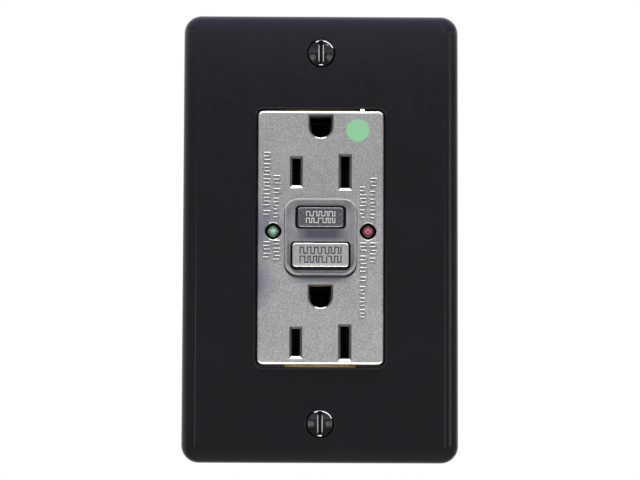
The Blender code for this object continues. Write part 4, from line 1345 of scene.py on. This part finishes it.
def make_housing_screws():
    for i in range(1, 5):
        node = f"housing_screw_{i}"
        x, z = place_of(node)
        back = high_of(node).y
        head = [(0.2, back), (1.2, back - 0.04), (1.8, back - 0.2), (2.12, back - 0.45)]
        head += [(2.2, back - 0.7), (2.2, back - 1.0), (1.1, back - 1.0), (1.1, back - 1.4)]
        slot = box_mesh("slot", (x - 3.0, back - 0.5, z - 0.35), (x + 3.0, back + 1.0, z + 0.35))
        blank = combined(turned_mesh(node, head, (x, z), "Y", 40), [slot])
        shank = threaded_mesh(node, (x, z), "Y", back - 1.2, low_of(node).y, 1.1, 16)
        mesh, steel = joined(node, blank, shank), finishes["zinc_steel"]
        piece = add_piece(node + "_piece", mesh, steel, DEVICE, [node], 42, soften=False)
        bevel_edges(piece, 0.04)
        weigh_normals(piece)


def make_shrouds():
    """A dark frame round each terminal plate, which closes its opening in the back body."""
    for pole, side in (("hot", -1), ("neutral", 1)):
        frames = []
        for sign in (-1, 1):
            skin = Skin()
            rings = []
            for x in SHROUD_SIDES:
                for size, middle in (SHROUD_OUTLINE, SHROUD_HOLE):
                    outline = bar((middle, sign * SHROUD_HEIGHT), size)
                    rings.append(skin.points([(side * x, y, z) for y, z in outline]))
            outer_in, inner_in, outer_out, inner_out = rings
            ends = ((outer_in, inner_in), (outer_out, inner_out))
            walls = ((outer_in, outer_out), (inner_in, inner_out))
            for pair in ends + walls:
                skin.strip(*pair)
            frames.append(skin.mesh("frame"))
        name, dark = f"{pole}_terminal_shroud", finishes["inner_plastic"]
        piece = add_piece(name, joined(name, *frames), dark, DEVICE, soften=False)
        bevel_edges(piece, 0.1)


# -------------------------------------------------------------------- springs


def coil_mesh(name, centre, axis, ends, radius, wire, turns, sides=10, per_turn=28):
    """A compression spring whose end turns are closed up, as a round wire along a helix."""
    count = int(turns * per_turn)
    rows = []
    for k in range(count + 1):
        part = k / count
        turn = math.tau * turns * part
        closed = 0.5 - 0.5 * math.cos(math.pi * part)
        along = ends[0] + (ends[1] - ends[0]) * (0.45 * part + 0.55 * closed)
        row = []
        for i in range(sides):
            tilt = math.tau * i / sides
            reach = radius + wire * math.cos(tilt)
            across = (centre[0] + reach * math.cos(turn), centre[1] + reach * math.sin(turn))
            row.append(placed(across, along + wire * math.sin(tilt), axis))
        rows.append(row)
    return tube_mesh(name, rows)


def make_springs():
    """The two springs, each a coil in place of its CAD node, riding on its body."""
    springs = (
        ("reset_spring", "Y", 0.28, 6.5, DEVICE, "reset_press", 2.2),
        ("latch_spring", "Z", 0.15, 3.5, "contact_carriage", "latch_slide", 1.25),
    )
    for node, axis, wire, turns, body, joint, travel in springs:
        centre, size = box_of(node)
        low, high = low_of(node), high_of(node)
        index = "XYZ".index(axis)
        across = (centre.x, centre.z) if axis == "Y" else (centre.x, centre.y)
        ends = (low[index] + wire, high[index] - wire)
        radius = size.x / 2 - wire
        mesh = coil_mesh(node, across, axis, ends, radius, wire, turns)
        slot = NODE_SLOTS[node]
        piece = add_piece(node + "_coil", mesh, finishes[slot], body, [node], 50, soften=False)
        fixed = centre * MM
        fixed[index] = high[index] * MM
        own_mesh(piece)


# ------------------------------------------------------- pieces kept from CAD


SPECIAL_FINISHES = {
    "mounting_strap": "strap_brass",
    "solenoid_coil": "coil",
    "hot_load_bar": "spring_brass",
    "neutral_load_bar": "spring_brass",
    "ground_contact_upper": "spring_brass",
    "ground_contact_lower": "spring_brass",
}


# Widths of soft edges in millimetres, and the plain blocks that have them
BEVELLED = {
    0.25: ["back_body"],
    0.16: ["mounting_strap"],
    0.15: ["separator", "thyristor", "contact_carriage"],
    0.12: ["controller_chip", "solenoid_bobbin", "hot_line_terminal", "neutral_line_terminal"]
    + [f"{pole}_{end}_clamp" for pole in ("hot", "neutral") for end in ("line", "load")],
    0.1: ["hot_load_bar", "neutral_load_bar"],
    0.08: ["screw_retainer_top", "screw_retainer_bottom", "hot_line_conductor", "neutral_line_conductor"],
    0.06: ["latch_plate", "hot_contact_arm", "neutral_contact_arm"],
    0.05: ["circuit_board"],
}


def dress_cad_nodes():
    """Gives each remaining CAD node its material, and soft edges where it is a plain block."""
    bevels = {name: width for width, names in BEVELLED.items() for name in names}
    for name, node in frame["nodes"].items():
        if node.hide_render:
            continue
        key = SPECIAL_FINISHES.get(name, NODE_SLOTS[name])
        node.data.materials.clear()
        node.data.materials.append(finishes[key])
        weld = node.modifiers.new("weld", "WELD")
        weld.merge_threshold = 1e-6
        if name in bevels:
            flats = node.modifiers.new("flats", "DECIMATE")
            flats.decimate_type = "DISSOLVE"
            flats.angle_limit = math.radians(1.0)
            bevel_edges(node, bevels[name])
            weigh_normals(node)


make_plate()
make_cover()
make_rib()
make_dot()
make_buttons()
make_lamps()
for end in ("top", "bottom"):
    make_plate_screw(f"plate_screw_{end}")
    make_mounting_screw(f"mounting_screw_{end}")
make_ground_screw()
make_terminal_screws()
make_housing_screws()
make_shrouds()
make_springs()
dress_cad_nodes()


# ---------------------------------------------------------- studio and camera


def direction(azimuth, elevation):
    """A unit vector: azimuth 0 is the front (-Y) and 90 the right (+X), in degrees."""
    a, e = math.radians(azimuth), math.radians(elevation)
    return (math.sin(a) * math.cos(e), -math.cos(a) * math.cos(e), math.sin(e))


class Sky(Nodes):
    """A world made of soft lobes of light, by direction, with a white background for the camera."""

    def __init__(self, base):
        world = bpy.data.worlds.new("studio")
        world.use_nodes = True
        bpy.context.scene.world = world
        super().__init__(world.node_tree)
        self.tree.nodes.clear()
        place = self.node("ShaderNodeTexCoord")
        unit = self.node("ShaderNodeVectorMath", operation="NORMALIZE")
        self.link(place.outputs["Generated"], unit.inputs[0])
        self.toward = unit.outputs["Vector"]
        start = self.node("ShaderNodeRGB")
        start.outputs["Color"].default_value = (*base, 1.0)
        self.colour = start.outputs["Color"]

    def blend(self, kind, azimuth, elevation, inner, outer, colour):
        """Blends a colour in: fully within inner degrees of a direction, and not past outer degrees."""
        toward = {1: direction(azimuth, elevation)}
        dot = self.node("ShaderNodeVectorMath", toward, operation="DOT_PRODUCT")
        self.link(self.toward, dot.inputs[0])
        limits = {"From Min": math.cos(math.radians(outer)), "From Max": math.cos(math.radians(inner))}
        ramp = self.node("ShaderNodeMapRange", limits, interpolation_type="SMOOTHSTEP")
        self.link(dot.outputs["Value"], ramp.inputs["Value"])
        mix = self.node("ShaderNodeMix", {"B": (*colour, 1.0)}, data_type="RGBA", blend_type=kind)
        self.link(ramp.outputs["Result"], mix.inputs["Factor"])
        self.link(self.colour, mix.inputs["A"])
        self.colour = mix.outputs["Result"]

    def finish(self):
        lit = self.node("ShaderNodeBackground")
        self.link(self.colour, lit.inputs["Color"])
        seen = self.node("ShaderNodeBackground", {"Color": (1.0, 1.0, 1.0, 1.0)})
        path = self.node("ShaderNodeLightPath")
        mix = self.node("ShaderNodeMixShader")
        self.link(path.outputs["Is Camera Ray"], mix.inputs["Fac"])
        self.link(lit.outputs["Background"], mix.inputs[1])
        self.link(seen.outputs["Background"], mix.inputs[2])
        out = self.node("ShaderNodeOutputWorld")
        self.link(mix.outputs["Shader"], out.inputs["Surface"])


def add_area(name, azimuth, elevation, distance, size, energy, colour=(1.0, 1.0, 1.0)):
    """A soft lamp that faces the outlet and isn't seen in reflections."""
    light = bpy.data.lights.new(name, "AREA")
    light.shape = "RECTANGLE"
    light.size, light.size_y = size
    light.energy = energy
    light.color = colour
    obj = bpy.data.objects.new(name, light)
    obj.location = Vector(direction(azimuth, elevation)) * distance
    obj.rotation_euler = (-obj.location).to_track_quat("-Z", "Y").to_euler()
    obj.visible_glossy = False
    bpy.context.scene.collection.objects.link(obj)


def light_scene():
    sky = Sky((0.2, 0.2, 0.208))
    for lobe in (
        ("ADD", 180, 10, 50, 100, (0.55, 0.55, 0.55)),
        ("ADD", 0, 90, 80.1, 80.9, (0.5, 0.5, 0.58)),
        ("SUBTRACT", 0, 90, 66, 79, (0.4, 0.4, 0.38)),
        ("ADD", 0, 75, 30, 60, (0.14, 0.18, 0.32)),
        ("ADD", 0, -72, 20, 50, (0.1, 0.1, 0.09)),
        ("ADD", -17, 0, 3, 7, (1.5, 1.5, 1.5)),
        ("ADD", 17, 0, 3, 7, (1.5, 1.5, 1.5)),
        ("ADD", 53, 3, 3, 9, (0.75, 0.75, 0.75)),
        ("ADD", 128, 5, 6, 24, (0.4, 0.4, 0.4)),
        ("ADD", -110, 5, 15, 50, (0.3, 0.29, 0.28)),
        ("ADD", 15.5, 27, 1.2, 2.6, (12.0, 12.0, 12.0)),
    ):
        sky.blend(*lobe)
    sky.finish()
    add_area("overhead", 0, 77, 1.0, (0.8, 0.4), 32.0)
    add_area("table_bounce", 0, -77, 1.0, (0.8, 0.4), 16.0, colour=(1.0, 0.97, 0.9))
    for azimuth in (-58, 58):
        add_area("side_fill", azimuth, -2, 1.2, (0.5, 0.3), 9.0)
    bpy.context.scene.view_settings.view_transform = "Standard"


def add_floor():
    """A level, almost white floor, which gives its own light and takes no shadow or reflection."""
    shape = bmesh.new()
    bmesh.ops.create_grid(shape, x_segments=1, y_segments=1, size=6.0)
    mesh = mesh_from(shape, "floor")
    floor = bpy.data.objects.new("floor", mesh)
    floor.location = (0.0, 0.0, FLOOR_HEIGHT)
    floor.visible_glossy = False
    floor.visible_diffuse = False
    floor.visible_shadow = False
    bpy.context.scene.collection.objects.link(floor)
    f = Finish("floor", (0.0, 0.0, 0.0), 0.9, Emission_Strength=1.0)
    tone = f.spread(f.noise(40.0, 2.0), 0.975, 1.0)
    f.link(f.grey(tone), f.shader.inputs["Emission Color"])
    mesh.materials.append(f.material)


def add_camera():
    """A long lens a little below the outlet's middle, as someone would photograph it."""
    camera = bpy.data.objects.new("camera", bpy.data.cameras.new("camera"))
    bpy.context.scene.collection.objects.link(camera)
    target = Vector(CAMERA_TARGET) * MM
    camera.location = target + Vector(direction(CAMERA_AZIMUTH, CAMERA_ELEVATION)) * CAMERA_DISTANCE
    aim = (target - camera.location).to_track_quat("-Z", "Y")
    roll = Matrix.Rotation(math.radians(CAMERA_ROLL), 4, "Z").to_quaternion()
    camera.rotation_mode = "QUATERNION"
    camera.rotation_quaternion = aim @ roll
    camera.data.lens = CAMERA_LENS
    camera.data.sensor_width = 36.0
    camera.data.clip_start = 0.01
    bpy.context.scene.camera = camera


add_floor()
light_scene()
add_camera()
